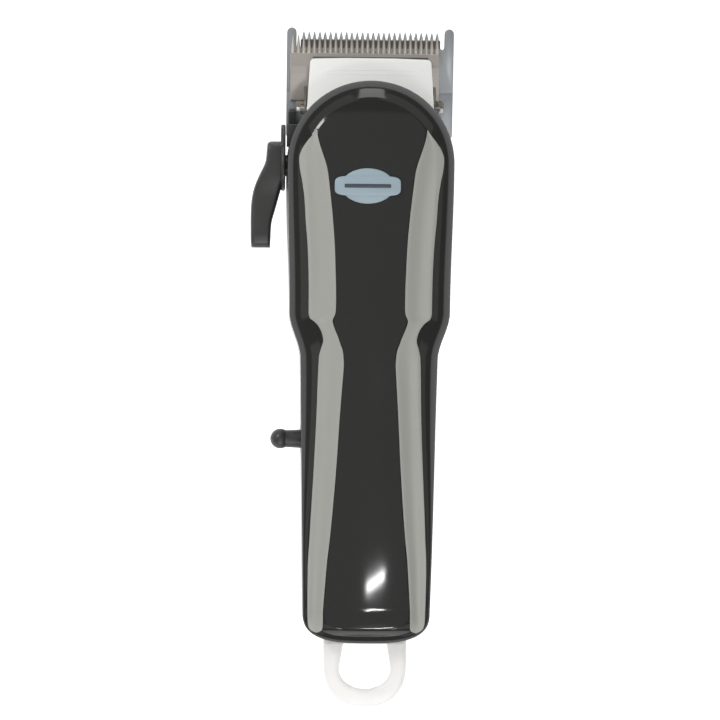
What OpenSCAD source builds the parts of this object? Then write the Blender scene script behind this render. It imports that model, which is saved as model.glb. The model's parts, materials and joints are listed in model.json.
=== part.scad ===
// Cordless pet clipper with a taper lever.
// X runs across the body, Y along it towards the blade, and Z up out of the cover.
// The origin lies in the flat back that the clipper rests on. All sizes are in millimetres.

/* [Body] */
// Length of the housing, from its rear end to the tip of its round head
body_len = 156; // [148:1:190]
// Width of the round head
head_w = 46; // [45:0.5:56]
// Width where the head starts to narrow
shoulder_w = 44.4; // [43:0.2:54]
// Width of the handle just behind the shoulders
waist_w = 38; // [36.5:0.5:44]
// Width of the handle at its rear end
tail_w = 35; // [34:0.5:42]
// Length of the head, from its tip back to the shoulders
head_len = 64; // [60:1:70]
// Length over which the shoulders narrow to the waist
flare_len = 13; // [9:1:18]
// Height of the crown over the motor
head_h = 38; // [37.5:0.5:46]
// Height of the crown at the waist
waist_h = 34; // [33:0.5:37]
// Height of the crown at the rear end
tail_h = 30; // [29.5:0.5:35]
// Height of the parting line between the two shells
split_z = 17; // [16.8:0.1:17.6]
// Wall thickness of both shells
wall = 2; // [1.6:0.1:2.2]
// How far the lower shell stands out past the cover
rim = 0.35; // [0.2:0.05:0.5]

/* [Blade] */
// Tilt of the blade above the flat back, in degrees
blade_tilt = 12; // [10:0.5:13]
// How far the corners of the blade reach past the head
blade_reach = 16; // [14.5:0.1:18]
// Width of the fixed blade
blade_w = 47; // [45:0.5:50]
// Thickness of the fixed blade
blade_t = 2.5; // [2.3:0.1:2.8]
// Distance between the centres of two teeth
tooth_pitch = 1.5; // [1.25:0.05:1.8]
// Full stroke of the moving cutter
stroke = 3; // [2:0.1:3.4]
// Thickness of the moving cutter
cutter_t = 2.2; // [1.9:0.1:2.3]
// How far the taper lever moves the fixed blade
blade_travel = 1.5; // [1:0.1:1.8]

/* [Lever] */
// Swing of the taper lever, in degrees
lever_swing = 60; // [50:1:65]
// Diameter of the round hub of the taper lever
lever_hub_d = 14.2; // [13:0.1:15]
// Diameter of the lever's shaft in the housing
lever_shaft_d = 6; // [5:0.1:6.4]
// Diameter of the eccentric cam on the shaft
cam_d = 8.4; // [8:0.1:8.6]

/* [Drive] */
// Diameter of the motor can
motor_d = 24.4; // [20:0.1:24.8]
// Length of the motor, with its end bell
motor_len = 31; // [29:0.5:32]
// Diameter of the motor shaft
shaft_d = 2; // [1.5:0.1:2.3]
// Diameter of the pin on the crank
crank_pin_d = 1.6; // [1.2:0.1:2]
// Diameter of the battery cell
cell_d = 18.2; // [14.2:0.1:18.4]
// Length of the battery cell
cell_len = 50; // [42:1:51]

/* [Switch] */
// Swing of the power toggle, in degrees
toggle_swing = 12; // [8:1:14]
// Diameter of the round end of the power toggle
toggle_d = 5.6; // [5:0.1:6]

/* [Loop] */
// Width of the hanging loop's opening
loop_hole_w = 14.2; // [12:0.2:15]
// Width of the loop's band
loop_band = 4.6; // [4:0.1:5]
// Thickness of the hanging loop
loop_t = 3; // [2:0.1:3.2]

/* [Hidden] */
$fn = 48;
// Gaps: a resting face, a running fit on the radius, and a free gap between two bodies
touch = 0.02;
run = 0.05;
gap = 0.3;

y_tip = body_len / 2;
y_rear = -body_len / 2;
head_r = head_w / 2;
head_y = y_tip - head_r;
shoulder_y = y_tip - head_len;
waist_y = shoulder_y - flare_len;
corner_len = 9;
corner_power = 2.8;

// --- Curves and lofted solids -------------------------------------------------

function mix(a, b, t) = a + (b - a) * t;
function clamp(v, low, high) = min(high, max(low, v));
function smooth(t) = let (s = clamp(t, 0, 1)) s * s * (3 - 2 * s);
function flip(pts) = [for (i = [len(pts) - 1:-1:0]) pts[i]];
function mirrored(pts) = [for (p = flip(pts)) [-p.x, p.y]];

// Half width of the housing, as a function of the place along it
function side_w(y) =
    y < waist_y ? mix(tail_w, waist_w, (y - y_rear) / (waist_y - y_rear)) / 2
    : y < shoulder_y ? mix(waist_w, shoulder_w, smooth((y - waist_y) / flare_len)) / 2
    : mix(shoulder_w, head_w, smooth((y - shoulder_y) / (head_y - shoulder_y))) / 2;

// Right half of the outline, from the middle of the rear end to the tip of the head
half_outline = [
    for (i = [0:8]) let (a = i * 90 / 8)
        [side_w(y_rear + corner_len) * pow(sin(a), 2 / corner_power),
         y_rear + corner_len * (1 - pow(cos(a), 2 / corner_power))],
    for (i = [1:8]) let (y = mix(y_rear + corner_len, waist_y, i / 8)) [side_w(y), y],
    for (i = [1:6]) let (y = waist_y + flare_len * i / 6) [side_w(y), y],
    for (i = [1:4]) let (y = mix(shoulder_y, head_y, i / 4)) [side_w(y), y],
    for (i = [1:12]) let (a = i * 90 / 12) [head_r * cos(a), head_y + head_r * sin(a)]
];
half_count = len(half_outline);
ring_count = 2 * half_count - 2;
outline = [
    for (p = half_outline) p,
    for (i = [half_count - 2:-1:1]) [-half_outline[i].x, half_outline[i].y]
];
inward = [for (i = [0:ring_count - 1])
    let (t = outline[(i + 1) % ring_count] - outline[(i + ring_count - 1) % ring_count])
    [-t.y, t.x] / norm(t)];

// A ring of the outline moved inwards. Both inset and height are functions of the place along it.
function ring(inset, height) = [for (i = [0:ring_count - 1])
    let (p = outline[i], q = p + inward[i] * inset(p.y)) [q.x, q.y, height(p.y)]];

// A ring part of the way from another ring to the spine of the body
function spine_ring(from, share, height) = [for (p = from)
    let (s = clamp(p.y, y_rear + corner_len, head_y), q = mix([p.x, p.y], [0, s], share))
    [q.x, q.y, height(p.z, s)]];

// A closed solid through rings from the bottom up. Each end is closed from side to side.
module loft(rings) {
    count = len(rings);
    function right(k, i) = k * ring_count + i;
    function left(k, i) = k * ring_count + (ring_count - i) % ring_count;
    function cap(k, i) =
        i == 0 ? [right(k, 0), left(k, 1), right(k, 1)]
        : i == half_count - 2 ? [right(k, i), left(k, i), right(k, i + 1)]
        : [right(k, i), left(k, i), left(k, i + 1), right(k, i + 1)];
    polyhedron(
        points = [for (r = rings, p = r) p],
        faces = [
            for (k = [0:count - 2], i = [0:ring_count - 1])
                let (j = (i + 1) % ring_count, a = k * ring_count, b = a + ring_count)
                each [[a + i, b + i, b + j], [a + i, b + j, a + j]],
            for (i = [0:half_count - 2]) cap(count - 1, i),
            for (i = [0:half_count - 2]) flip(cap(0, i))
        ],
        convexity = 6
    );
}

// An insulated wire through a list of points
module wire(path, d) {
    sides = 8;
    count = len(path);
    function way(i) =
        let (t = path[min(i + 1, count - 1)] - path[max(i - 1, 0)]) t / norm(t);
    function across(i) = let (c = cross(way(i), [0.31, 0.17, 0.93])) c / norm(c);
    polyhedron(
        points = [for (i = [0:count - 1], k = [0:sides - 1])
            let (u = across(i), v = cross(way(i), u), a = k * 360 / sides)
            path[i] + d / 2 * (u * cos(a) + v * sin(a))],
        faces = [
            [for (k = [0:sides - 1]) k],
            [for (k = [sides - 1:-1:0]) (count - 1) * sides + k],
            for (i = [0:count - 2], k = [0:sides - 1])
                let (j = (k + 1) % sides, a = i * sides, b = a + sides)
                each [[a + k, b + j, a + j], [a + k, b + k, b + j]]
        ]
    );
}

// A smooth curve through a few points
function curve(pts, steps = 5) =
    let (last = len(pts) - 1)
    [for (i = [0:last - 1], k = [0:steps - 1])
        let (t = k / steps, a = pts[max(i - 1, 0)], b = pts[i], c = pts[i + 1], d = pts[min(i + 2, last)])
        0.5 * (2 * b + (c - a) * t + (2 * a - 5 * b + 4 * c - d) * t * t
            + (3 * b - a - 3 * c + d) * t * t * t),
     pts[last]];

// Bars and discs that lie along X, along Y and along Z
module bar_x(d, x0, x1) { translate([x0, 0, 0]) rotate([0, 90, 0]) cylinder(d = d, h = x1 - x0); }
module bar_y(d, y0, y1) { translate([0, y0, 0]) rotate([-90, 0, 0]) cylinder(d = d, h = y1 - y0); }
module bar_z(d, z0, z1) { translate([0, 0, z0]) cylinder(d = d, h = z1 - z0); }
module box(low, high) { translate(low) cube(high - low); }

// Extrudes a side view, drawn in Y and Z, from one X to another
module side_view(x0, x1) {
    translate([x0, 0, 0]) rotate([90, 0, 90]) linear_extrude(x1 - x0) children();
}

// --- Blade frame: x across, u along the blade and w up from its skin side -----

ramp_y = y_tip - 38;
module at_blade() { translate([0, ramp_y, 0]) rotate([blade_tilt, 0, 0]) children(); }
function u_of(y, w = blade_t) = (y - ramp_y + w * sin(blade_tilt)) / cos(blade_tilt);
function blade_uw(y, z) = [
    (y - ramp_y) * cos(blade_tilt) + z * sin(blade_tilt),
    z * cos(blade_tilt) - (y - ramp_y) * sin(blade_tilt)
];
function plane_z(y, w) = (y - ramp_y) * tan(blade_tilt) + w / cos(blade_tilt);
far = 220;
// Everything under a plane that lies at a height above the skin side of the blade
module under_blade(w) { at_blade() box([-far, -far, -far], [far, far, w]); }

carrier_top = blade_t - 0.1;
bed_w = carrier_top + touch;
floor_w = bed_w + wall;
cutter_w = blade_t + touch;
cutter_top = cutter_w + cutter_t;
nose_w = cutter_top + gap;

seam_y = y_tip - 1.4;
horn_y = y_tip + blade_reach;
fixed_tip_y = horn_y - 1.4;
fixed_root_y = horn_y - 3.4;
cutter_tip_y = horn_y - 2.2;
cutter_root_y = horn_y - 7;
cutter_rear_y = y_tip - 3.8;
bay_y = y_tip - 6.1;

// --- Shape of the two shells --------------------------------------------------

crown_rise = 2.2;
// The crown rounds down towards the tail over this length, by this much
tail_len = 32;
tail_round = 2.6;
band_mid = 5.8;
band_tail = 1.3;
band_rear = 0.7;
band_tip = 4.4;
nose_drop = 1;
tail_drop = 1.6;
swell_y = 20;
swell_len = 46;

// How far a place lies into the round of the rear corners, from 0 to 1
function corner_share(y) = max(0, y_rear + corner_len - y) / corner_len;
// Width of the sloping band between the cover's edge and its crease
function band(y) =
    y < 0 ? mix(band_tail, band_mid, smooth((y - y_rear - 20) / 58)) + band_rear * pow(corner_share(y), 2)
    : mix(band_mid, band_tip, smooth((y - y_tip + 53) / 38));
function crown_z(y) =
    mix(mix(tail_h, waist_h, clamp((y - y_rear) / (swell_y - swell_len - y_rear), 0, 1)),
        head_h, smooth((y - swell_y + swell_len) / swell_len))
    - tail_round * pow(max(0, y_rear + tail_len - y) / tail_len, 2);
function crease_z(y) =
    crown_z(y) - crown_rise - nose_drop * pow(max(0, y - head_y) / head_r, 2)
    - tail_drop * pow(corner_share(y), 2);

// The cover's outer form, grown by a distance, with its foot at a height
module cover_form(grow, foot) {
    // The band is a part of a round that starts upright
    function arc(in, down, slide) =
        ring(function (y) in * band(y) - slide * grow, function (y) crease_z(y) + grow - down * band(y));
    low = ring(function (y) -grow, function (y) foot);
    side = arc(0, 2.14, 1);
    bulge = arc(0.17, 1.18, 1);
    shoulder = arc(0.51, 0.54, 0.9);
    crease = arc(1, 0, 0.8);
    crown = spine_ring(crease, 0.42, function (z, y) mix(z, crown_z(y) + grow, 0.66));
    ridge = spine_ring(crease, 0.85, function (z, y) mix(z, crown_z(y) + grow, 0.975));
    loft([low, side, bulge, shoulder, crease, crown, ridge]);
}

// The lower shell's form: its foot is the flat back
module lower_form(out, base, top) {
    loft([
        ring(function (y) 3.2 - out, function (y) base),
        ring(function (y) 1.1 - out, function (y) base + 0.9),
        ring(function (y) -out, function (y) base + 3.6),
        ring(function (y) -out, function (y) top)
    ]);
}

// --- Places inside ------------------------------------------------------------

motor_z = head_h - wall - 0.9 - motor_d / 2;
motor_front = y_tip - 30;
motor_rear = motor_front - motor_len;
bell_len = 4;
cell_x = 2;
cell_z = 14;
cell_front = motor_rear - 24;
cell_rear = cell_front - cell_len;
lever_y = y_tip - 23;
arm_y = y_tip - 22;
lever_z = split_z;
pivot_uw = blade_uw(lever_y, lever_z);
cam_throw = blade_travel / 2 / sin(lever_swing / 2);
toggle_y = cell_front - 14.4;
toggle_x = -15.3;
toggle_z = split_z;
socket_z = 9;
board_z = cell_z + cell_d / 2 + 1;
board_y1 = cell_front + 9;
board_y0 = board_y1 - 38;
screw_sites = [for (s = [-1, 1], p = [[11, y_rear + 12], [11.5, motor_rear - 9]]) [s * p.x, p.y]];
carrier_screw_sites = [for (s = [-1, 1]) [s * 12.5, u_of(y_tip - 34)]];
screw_head_z = 6;
screw_tip_z = 25;

// --- Outlines -----------------------------------------------------------------

// A strip on the crown: its outer edge from the front tip to the rear end, then its inner edge
module inlay_outline(side, grow = 0) {
    outer = [[15.1, 66.2], [19.3, 61], [20.0, 56], [19.0, 50.7], [18.3, 45.6], [17.4, 36], [17.0, 22],
        [16.9, 13.3], [16.4, 12], [15.3, 11.2], [14.3, 10], [13.3, 8.3], [12.85, 6], [13.4, 4],
        [13.9, 2], [14.1, -1.6], [14.5, -15], [15.5, -28],
        [16.1, -42], [16.9, -55], [16.9, -66], [16.2, -71.5], [14.6, -74.2]];
    inner = [[13.1, -74.4], [12.6, -68], [11.4, -58], [10.4, -48], [9.1, -36], [8.0, -23], [7.3, -10],
        [7.1, 0], [7.5, 3.4], [8.1, 5], [9.3, 8.3], [10, 10], [10.3, 11.2], [10.2, 12], [9.6, 13.3],
        [9.5, 15], [9.8, 22], [10.3, 36], [11.0, 45.6], [12.0, 52.4],
        [13.4, 58.2], [14.3, 62.6]];
    offset(delta = grow) polygon([for (p = concat(outer, inner)) [side * p.x, p.y * body_len / 156]]);
}

badge_y = head_y - 5.5;
module badge_outline(grow = 0) {
    polygon([for (i = [0:31]) let (a = i * 360 / 32) [(7.3 + grow) * cos(a), badge_y + (4.9 + grow) * sin(a)]]);
    polygon([for (i = [0:31]) let (a = i * 360 / 32)
        [(9.1 + grow) * sign(cos(a)) * pow(abs(cos(a)), 0.6),
         badge_y + (2.8 + grow) * sign(sin(a)) * pow(abs(sin(a)), 0.6)]]);
}

nose_half = 17;
nose_front_y = y_tip + 7.4;
nose_flare = 0.7;
nose_flare_y = y_tip - 7;
nose_rear_y = y_tip - 15;
nose_slope = 14;
nose_t = 1.6;
nose_front_z = plane_z(nose_front_y, nose_w) + 2.2;
function nose_z(y) = nose_front_z + (nose_front_y - y) * tan(nose_slope);
module nose_outline(inset) {
    half = nose_half - inset;
    front = nose_front_y - inset;
    corner = 1.2;
    right_side = [
        [half + 0.4, nose_rear_y],
        [half + nose_flare, nose_flare_y],
        for (i = [0:4]) let (a = i * 90 / 4)
            [half - corner + corner * cos(a), front - 0.3 - corner + corner * sin(a)],
        [half * 0.4, front - 0.05]
    ];
    polygon(concat(right_side, mirrored(right_side)));
}
module nose_block(inset, bottom_w) {
    difference() {
        intersection() {
            linear_extrude(60) nose_outline(inset);
            side_view(-30, 30) polygon([
                [nose_rear_y - 1, 0], [nose_front_y + 1, 0],
                [nose_front_y + 1, nose_z(nose_front_y + 1) - inset],
                [nose_rear_y - 1, nose_z(nose_rear_y - 1) - inset]
            ]);
        }
        under_blade(bottom_w);
    }
}

loop_half = loop_hole_w / 2 + loop_band;
loop_end_y = y_rear - 18.2;
module loop_outline() {
    reach = 13;
    arc = [for (i = [-8:8]) let (a = i * 90 / 8)
        [loop_half * sign(sin(a)) * pow(abs(sin(a)), 0.8), loop_end_y + reach - reach * pow(cos(a), 0.8)]];
    difference() {
        polygon(concat(flip(arc), [[-loop_half, y_rear + 6], [loop_half, y_rear + 6]]));
        hole_y0 = loop_end_y + 5;
        hole_y1 = y_rear - 1.2;
        polygon([for (i = [0:31]) let (a = i * 360 / 32)
            [loop_hole_w / 2 * cos(a) * (1 - 0.08 * sin(a)), mix(hole_y0, hole_y1, 0.5 + sin(a) / 2)]]);
    }
}

// --- Openings that both shells share ------------------------------------------

module side_openings() {
    translate([0, lever_y, lever_z]) bar_x(lever_shaft_d + 2 * run, -far, -toggle_x - 20);
    half_y = toggle_d / 2 + 3.6 * tan(toggle_swing) + gap;
    translate([0, toggle_y, toggle_z])
        box([-far, -half_y, -toggle_d / 2 - gap], [toggle_x, half_y, toggle_d / 2 + gap]);
    box([-loop_half - touch, -far, split_z - loop_t / 2 - touch],
        [loop_half + touch, y_rear + 10, split_z + loop_t / 2 + touch]);
}

// --- Housing ------------------------------------------------------------------

module top_cover() {
    color("#1d1d1c")
    difference() {
        union() {
            difference() {
                cover_form(0, split_z);
                cover_form(-wall, split_z - 1);
            }
            for (p = screw_sites) translate(p) bar_z(5, split_z, crown_z(p.y) - 2.6);
            for (y = [board_y0 + 6, board_y1 - 6])
                translate([0, y, 0]) bar_z(4, board_z + 1.2 + touch, crown_z(y) - 1);
        }
        for (p = screw_sites) translate(p) bar_z(2.2, split_z - 1, screw_tip_z + 1);
        for (y = [board_y0 + 6, board_y1 - 6]) translate([0, y, 0]) bar_z(1.6, board_z, board_z + 5);
        side_openings();
        for (s = [-1, 1]) difference() {
            linear_extrude(60) inlay_outline(s, touch);
            cover_form(-0.8 - touch, split_z - 1);
        }
        translate([0, 0, crown_z(badge_y) - 1.3 - touch]) linear_extrude(10) badge_outline(touch);
        nose_block(-touch, nose_w);
    }
}

module inlay(side) {
    color("#a9acaa")
    difference() {
        intersection() {
            cover_form(0.15, split_z);
            linear_extrude(60) inlay_outline(side);
        }
        cover_form(-0.8, split_z - 1);
    }
}
module left_inlay() { inlay(-1); }
module right_inlay() { inlay(1); }

module badge() {
    color("#9fb2bd")
    translate([0, 0, crown_z(badge_y) - 1.3]) linear_extrude(1.8) badge_outline();
}

module lower_shell() {
    color("#b9bcbd")
    difference() {
        union() {
            difference() {
                lower_form(rim, 0, split_z);
                difference() {
                    lower_form(-wall, wall, split_z + 1);
                    under_blade(floor_w);
                }
            }
            // Bosses for the screws, the carrier's screws and the motor's cradle
            for (p = screw_sites) translate(p) bar_z(6.6, wall / 2, split_z);
            difference() {
                union() {
                    at_blade() for (p = carrier_screw_sites) translate(p) bar_z(5.6, bed_w, bed_w + 5);
                    for (y = [motor_rear + 7, motor_front - 9])
                        box([-9, y, wall / 2], [9, y + 2.4, motor_z - 8]);
                }
                translate([0, 0, motor_z]) bar_y(motor_d + 2 * touch, motor_rear, motor_front);
            }
        }
        under_blade(bed_w);
        for (p = screw_sites) translate(p) {
            bar_z(2.8, -1, split_z + 1);
            bar_z(5.2, -1, screw_head_z);
        }
        at_blade() for (p = carrier_screw_sites) translate(p) bar_z(1.8, 0, bed_w + 4);
        side_openings();
        translate([0, 0, socket_z]) {
            bar_y(6.8, -far, y_rear + 5);
            translate([7.5, 0, 0]) bar_y(2.6, -far, y_rear + 5);
        }
        // Slot for the carrier's ear
        at_blade() box([-ear_x - ear_t - gap, ear_u0 - gap, 0], [-ear_x + gap, ear_u1 + blade_travel + gap, 10]);
        // The nose plate and the bay for the cutter
        nose_block(-touch, nose_w - touch);
        at_blade() box([-far, u_of(bay_y), 0], [far, far, 20]);
        // Room for the springs and their pins in a head that reaches round them
        at_blade() translate([0, spring_u, spring_w]) {
            bar_x(spring_pin_d + 2 * touch, -far, far);
            for (s = [-1, 1]) translate([s * spring_x, 0, 0]) {
                bar_x(spring_d + 2 * gap, -spring_half - gap, spring_half + gap);
                box([-spring_half - gap, 0, -spring_d / 2 - gap],
                    [spring_half + gap, spring_arm, spring_d / 2 + gap]);
            }
        }
    }
}

module nose_plate() {
    color("#dadcdb")
    union() {
        difference() {
            nose_block(0, nose_w);
            nose_block(nose_t, 0);
            box([-far, 0, 0], [far, nose_rear_y + 0.01, 60]);
        }
        at_blade() for (s = [-1, 1]) translate([0, spring_u, spring_w])
            bar_x(spring_pin_d, s < 0 ? -20.6 : nose_half - 1, s < 0 ? 1 - nose_half : 20.6);
    }
}

module hanging_loop() {
    color("#dfe3e4")
    translate([0, 0, split_z - loop_t / 2]) {
        linear_extrude(loop_t) loop_outline();
        box([-13.4, y_rear + 4.4, 0], [13.4, y_rear + 7, loop_t]);
    }
}

module housing_screws() {
    color("#85898c")
    for (p = screw_sites) translate(p) {
        difference() {
            bar_z(5, screw_head_z - 1.9, screw_head_z - touch);
            for (a = [0, 90]) rotate(a) box([-1.6, -0.35, 0], [1.6, 0.35, screw_head_z - 1]);
        }
        bar_z(2.2, screw_head_z - 1, screw_tip_z);
    }
}

// It starts where the round of the head leaves room for it
guide_y = head_y + sqrt(head_r * head_r - 20.4 * 20.4);
module blade_guide() {
    color("#232323")
    at_blade() translate([0, 0, bed_w]) linear_extrude(4) polygon([
        [-23, u_of(guide_y)], [-23, u_of(y_tip - 6.5)], [-20.9, u_of(y_tip - 6.5)],
        [-20.9, u_of(guide_y + 2.2)], [-21.6, u_of(guide_y)]
    ]);
}

module cutter_guide() {
    color("#b3a68a")
    at_blade() translate([0, 0, bed_w]) linear_extrude(1.9) polygon([
        [-21, u_of(bay_y) + touch], [21, u_of(bay_y) + touch],
        [21, u_of(cutter_rear_y) - 0.9], [20.3, u_of(cutter_rear_y) - 0.2],
        [-20.3, u_of(cutter_rear_y) - 0.2], [-21, u_of(cutter_rear_y) - 0.9]
    ]);
}

spring_w = 5.8;
spring_x = 19.5;
spring_d = 2.8;
spring_half = 0.9;
spring_pin_d = 1.2;
spring_u = u_of(y_tip - 6.8, spring_w);
spring_arm = 6.5;
spring_wire = 0.7;
module tension_springs() {
    drop = spring_w - 0.35 - cutter_top - spring_wire / 2 - 0.1;
    color("#9a9c9e")
    at_blade() for (s = [-1, 1]) translate([s * spring_x, spring_u, spring_w]) {
        difference() {
            union() {
                bar_x(spring_d, -spring_half, spring_half);
                translate([-s * 0.55, 0, -0.35]) rotate([-atan(drop / spring_arm), 0, 0]) bar_y(spring_wire, 0, spring_arm);
            }
            bar_x(spring_pin_d + 2 * touch, -3, 3);
        }
    }
}

// --- Motor and drive ----------------------------------------------------------

module at_motor() { translate([0, 0, motor_z]) children(); }
bell_y = motor_rear + bell_len;
core_d = motor_d - 7;

module motor_can() {
    color("#a4a8ab")
    at_motor() difference() {
        bar_y(motor_d, bell_y, motor_front);
        bar_y(motor_d - 2, bell_y - 1, motor_front - 1);
        bar_y(6 + 2 * touch, motor_front - 2, motor_front + 1);
        for (s = [-1, 1]) translate([0, 0, s * 8]) bar_y(2.2, motor_front - 2, motor_front + 1);
    }
}
module motor_bush() {
    color("#b08d57")
    at_motor() difference() {
        bar_y(6, motor_front - 2.5, motor_front + 0.6);
        bar_y(shaft_d + 2 * run, motor_front - 4, motor_front + 2);
    }
}
module motor_magnets() {
    color("#4a4742")
    at_motor() difference() {
        bar_y(motor_d - 2 - 2 * touch, bell_y + 5, motor_front - 4);
        bar_y(core_d + 1, bell_y, motor_front);
        box([-far, 0, -3], [far, far, 3]);
    }
}
module motor_end_bell() {
    color("#2b2b2d")
    at_motor() difference() {
        bar_y(motor_d, motor_rear, bell_y - touch);
        bar_y(shaft_d + 2 * run, motor_rear + 1, bell_y + 1);
        for (s = [-1, 1]) box([s * 7 - 1.2, motor_rear - 1, -0.4], [s * 7 + 1.2, bell_y + 1, 0.4]);
    }
}
module motor_terminals() {
    color("#c9a24a")
    at_motor() for (s = [-1, 1]) difference() {
        box([s * 7 - 1.2 + touch, motor_rear - 4, -0.4 + touch], [s * 7 + 1.2 - touch, bell_y - touch, 0.4 - touch]);
        translate([s * 7, motor_rear - 2.6, -1]) cylinder(d = 1, h = 2);
    }
}
module motor_shaft() {
    color("#c6cacc")
    at_motor() bar_y(shaft_d, motor_rear + 1.4, motor_front + 6.2);
}
module armature() {
    color("#8b4a2b")
    at_motor() difference() {
        bar_y(core_d, bell_y + 5, motor_front - 4);
        bar_y(shaft_d + 2 * touch, motor_rear, motor_front);
        for (a = [0:72:359]) rotate([0, a, 0]) box([-1, bell_y, core_d / 4], [1, motor_front, core_d]);
    }
}
module commutator() {
    color("#b87333")
    at_motor() difference() {
        bar_y(7, bell_y + 0.6, bell_y + 4);
        bar_y(shaft_d + 2 * touch, motor_rear, motor_front);
        for (a = [36:120:359]) rotate([0, a, 0]) box([-0.25, bell_y, 3], [0.25, motor_front, 5]);
    }
}

crank_y = motor_front + 3;
fork_y = crank_y + 4.2;
fork_len = 3.6;
crank_throw = stroke / 2;
module crank() {
    color("#d8d4c8")
    at_motor() difference() {
        union() {
            bar_y(9, crank_y, crank_y + 3.4);
            translate([-crank_throw, 0, 0]) bar_y(crank_pin_d, crank_y + 3, fork_y + fork_len + 0.8);
        }
        bar_y(shaft_d + 2 * touch, crank_y - 1, motor_front + 6.2 + touch);
    }
}

module motor_mount() {
    color("#2f3032")
    difference() {
        union() {
            y0 = motor_front + touch;
            box([-12.5, y0, 5], [12.5, y0 + 2, motor_z + 6]);
            at_motor() bar_y(21, y0, y0 + 2);
            for (s = [-1, 1]) box([s * 12 - 3.5, y0, 5], [s * 12 + 3.5, y0 + 8, plane_z(motor_front + 8, floor_w) + 2.4]);
        }
        under_blade(floor_w + touch);
        at_motor() bar_y(6 + 2 * touch, motor_front - 1, motor_front + 3);
        at_motor() for (s = [-1, 1]) translate([0, 0, s * 8]) bar_y(2.2, motor_front - 1, motor_front + 3);
        at_blade() for (s = [-1, 1]) translate([s * 12, mount_u, 0]) bar_z(2.2, 0, 40);
    }
}
mount_u = u_of(motor_front + 5.4, floor_w);
mount_top_w = blade_uw(motor_front + 5.4, plane_z(motor_front + 8, floor_w) + 2.4)[1] + 0.8;
module mount_screws() {
    color("#85898c")
    at_blade() for (s = [-1, 1]) translate([s * 12, mount_u, 0]) {
        bar_z(3.8, mount_top_w, mount_top_w + 1.3);
        bar_z(2, floor_w + touch, mount_top_w + 0.5);
    }
}
module motor_screws() {
    color("#85898c")
    at_motor() for (s = [-1, 1]) translate([0, 0, s * 8]) {
        bar_y(3.4, motor_front + 2 + 2 * touch, motor_front + 3 + touch);
        bar_y(2, motor_front - 1, motor_front + 2.5);
    }
}

module drive_yoke() {
    slot_half = stroke + crank_pin_d / 2 + gap;
    slot_deep = crank_throw + crank_pin_d / 2 + gap;
    arm_z = motor_z - slot_deep;
    rear = fork_y;
    foot_y0 = y_tip - 2.5;
    foot_y1 = y_tip + 3;
    color("#e6e2d6")
    translate([-crank_throw, 0, 0]) difference() {
        union() {
            box([-slot_half - 2.2, rear, arm_z - 3], [slot_half + 2.2, rear + fork_len, motor_z + 3]);
            difference() {
                side_view(-4.5, 4.5) polygon([
                    [rear, arm_z - 3], [rear, arm_z], [foot_y0 - 3, plane_z(foot_y0, cutter_top) + 2.6],
                    [foot_y1, plane_z(foot_y1, cutter_top) + 1.3], [foot_y1, plane_z(foot_y1, cutter_top)],
                    [foot_y0 - 2, plane_z(foot_y0, cutter_top) + 0.5]
                ]);
                under_blade(cutter_top + touch);
            }
            at_blade() box([-9, u_of(foot_y0, cutter_top), cutter_top + touch],
                [9, u_of(foot_y1, cutter_top), cutter_top + 1.4]);
        }
        box([-slot_half, rear - 1, arm_z], [slot_half, rear + fork_len + 1, far]);
        at_blade() for (s = [-1, 1]) translate([s * 7, yoke_screw_u, 0]) bar_z(1.8, 0, 20);
    }
}
yoke_screw_u = u_of(y_tip + 0.4, cutter_top);
module yoke_screws() {
    color("#85898c")
    at_blade() for (s = [-1, 1]) translate([s * 7 - crank_throw, yoke_screw_u, 0]) {
        bar_z(2.9, cutter_top + 1.4 + touch, cutter_top + 2.3);
        bar_z(1.6, cutter_w + 0.4, cutter_top + 2);
    }
}

// --- Blade --------------------------------------------------------------------

tooth_count = floor((blade_w - 5.2 - tooth_pitch / 2) / tooth_pitch) + 1;
fixed_count = tooth_count - 2;
fixed_span = tooth_pitch * (fixed_count - 1);
tongue_len = 13;
tongue_t = 1.2;
blade_screw_u = u_of(seam_y) - 7;
blade_screw_x = 12;

module fixed_blade() {
    u0 = u_of(seam_y);
    root = u_of(fixed_root_y);
    tip = u_of(fixed_tip_y);
    horn = u_of(horn_y);
    horn_w = 2.7;
    notch_u = u_of(cutter_root_y);
    half = blade_w / 2;
    base_half = tooth_pitch * 0.42;
    tip_half = tooth_pitch * 0.15;
    color("#c3c9cd")
    at_blade() difference() {
        intersection() {
            union() {
                difference() {
                    box([-half, u0, 0], [half, root, blade_t]);
                    for (s = [-1, 1]) box([s * (half - horn_w - 0.5) - 0.5, notch_u, -1],
                        [s * (half - horn_w - 0.5) + 0.5, root + 1, blade_t + 1]);
                }
                for (i = [0:fixed_count - 1]) translate([i * tooth_pitch - fixed_span / 2, 0, 0])
                    linear_extrude(blade_t) polygon([
                        [-base_half, root], [base_half, root], [tip_half, tip - 0.2],
                        [0, tip], [-tip_half, tip - 0.2]
                    ]);
                for (s = [-1, 1]) translate([s * (half - horn_w / 2), 0, 0]) linear_extrude(blade_t) polygon([
                    [-horn_w / 2, root - 0.01], [horn_w / 2, root - 0.01],
                    for (i = [0:8]) let (a = i * 180 / 8) horn_w / 2 * [cos(a), sin(a)] + [0, horn - horn_w / 2]
                ]);
                box([-18, u0 - tongue_len, 0], [18, u0 + 0.01, tongue_t]);
            }
            // The skin side slopes up towards the tips
            side_view(-far, far) polygon([
                [u0 - tongue_len, 0], [root - 6, 0], [horn, 1.5], [horn, blade_t], [u0 - tongue_len, blade_t]
            ]);
        }
        for (s = [-1, 1]) translate([s * blade_screw_x, blade_screw_u, 0]) {
            bar_z(2.4, -1, blade_t);
            translate([0, 0, -touch]) cylinder(d1 = 4.4, d2 = 2.4, h = 1);
        }
    }
}

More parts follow.
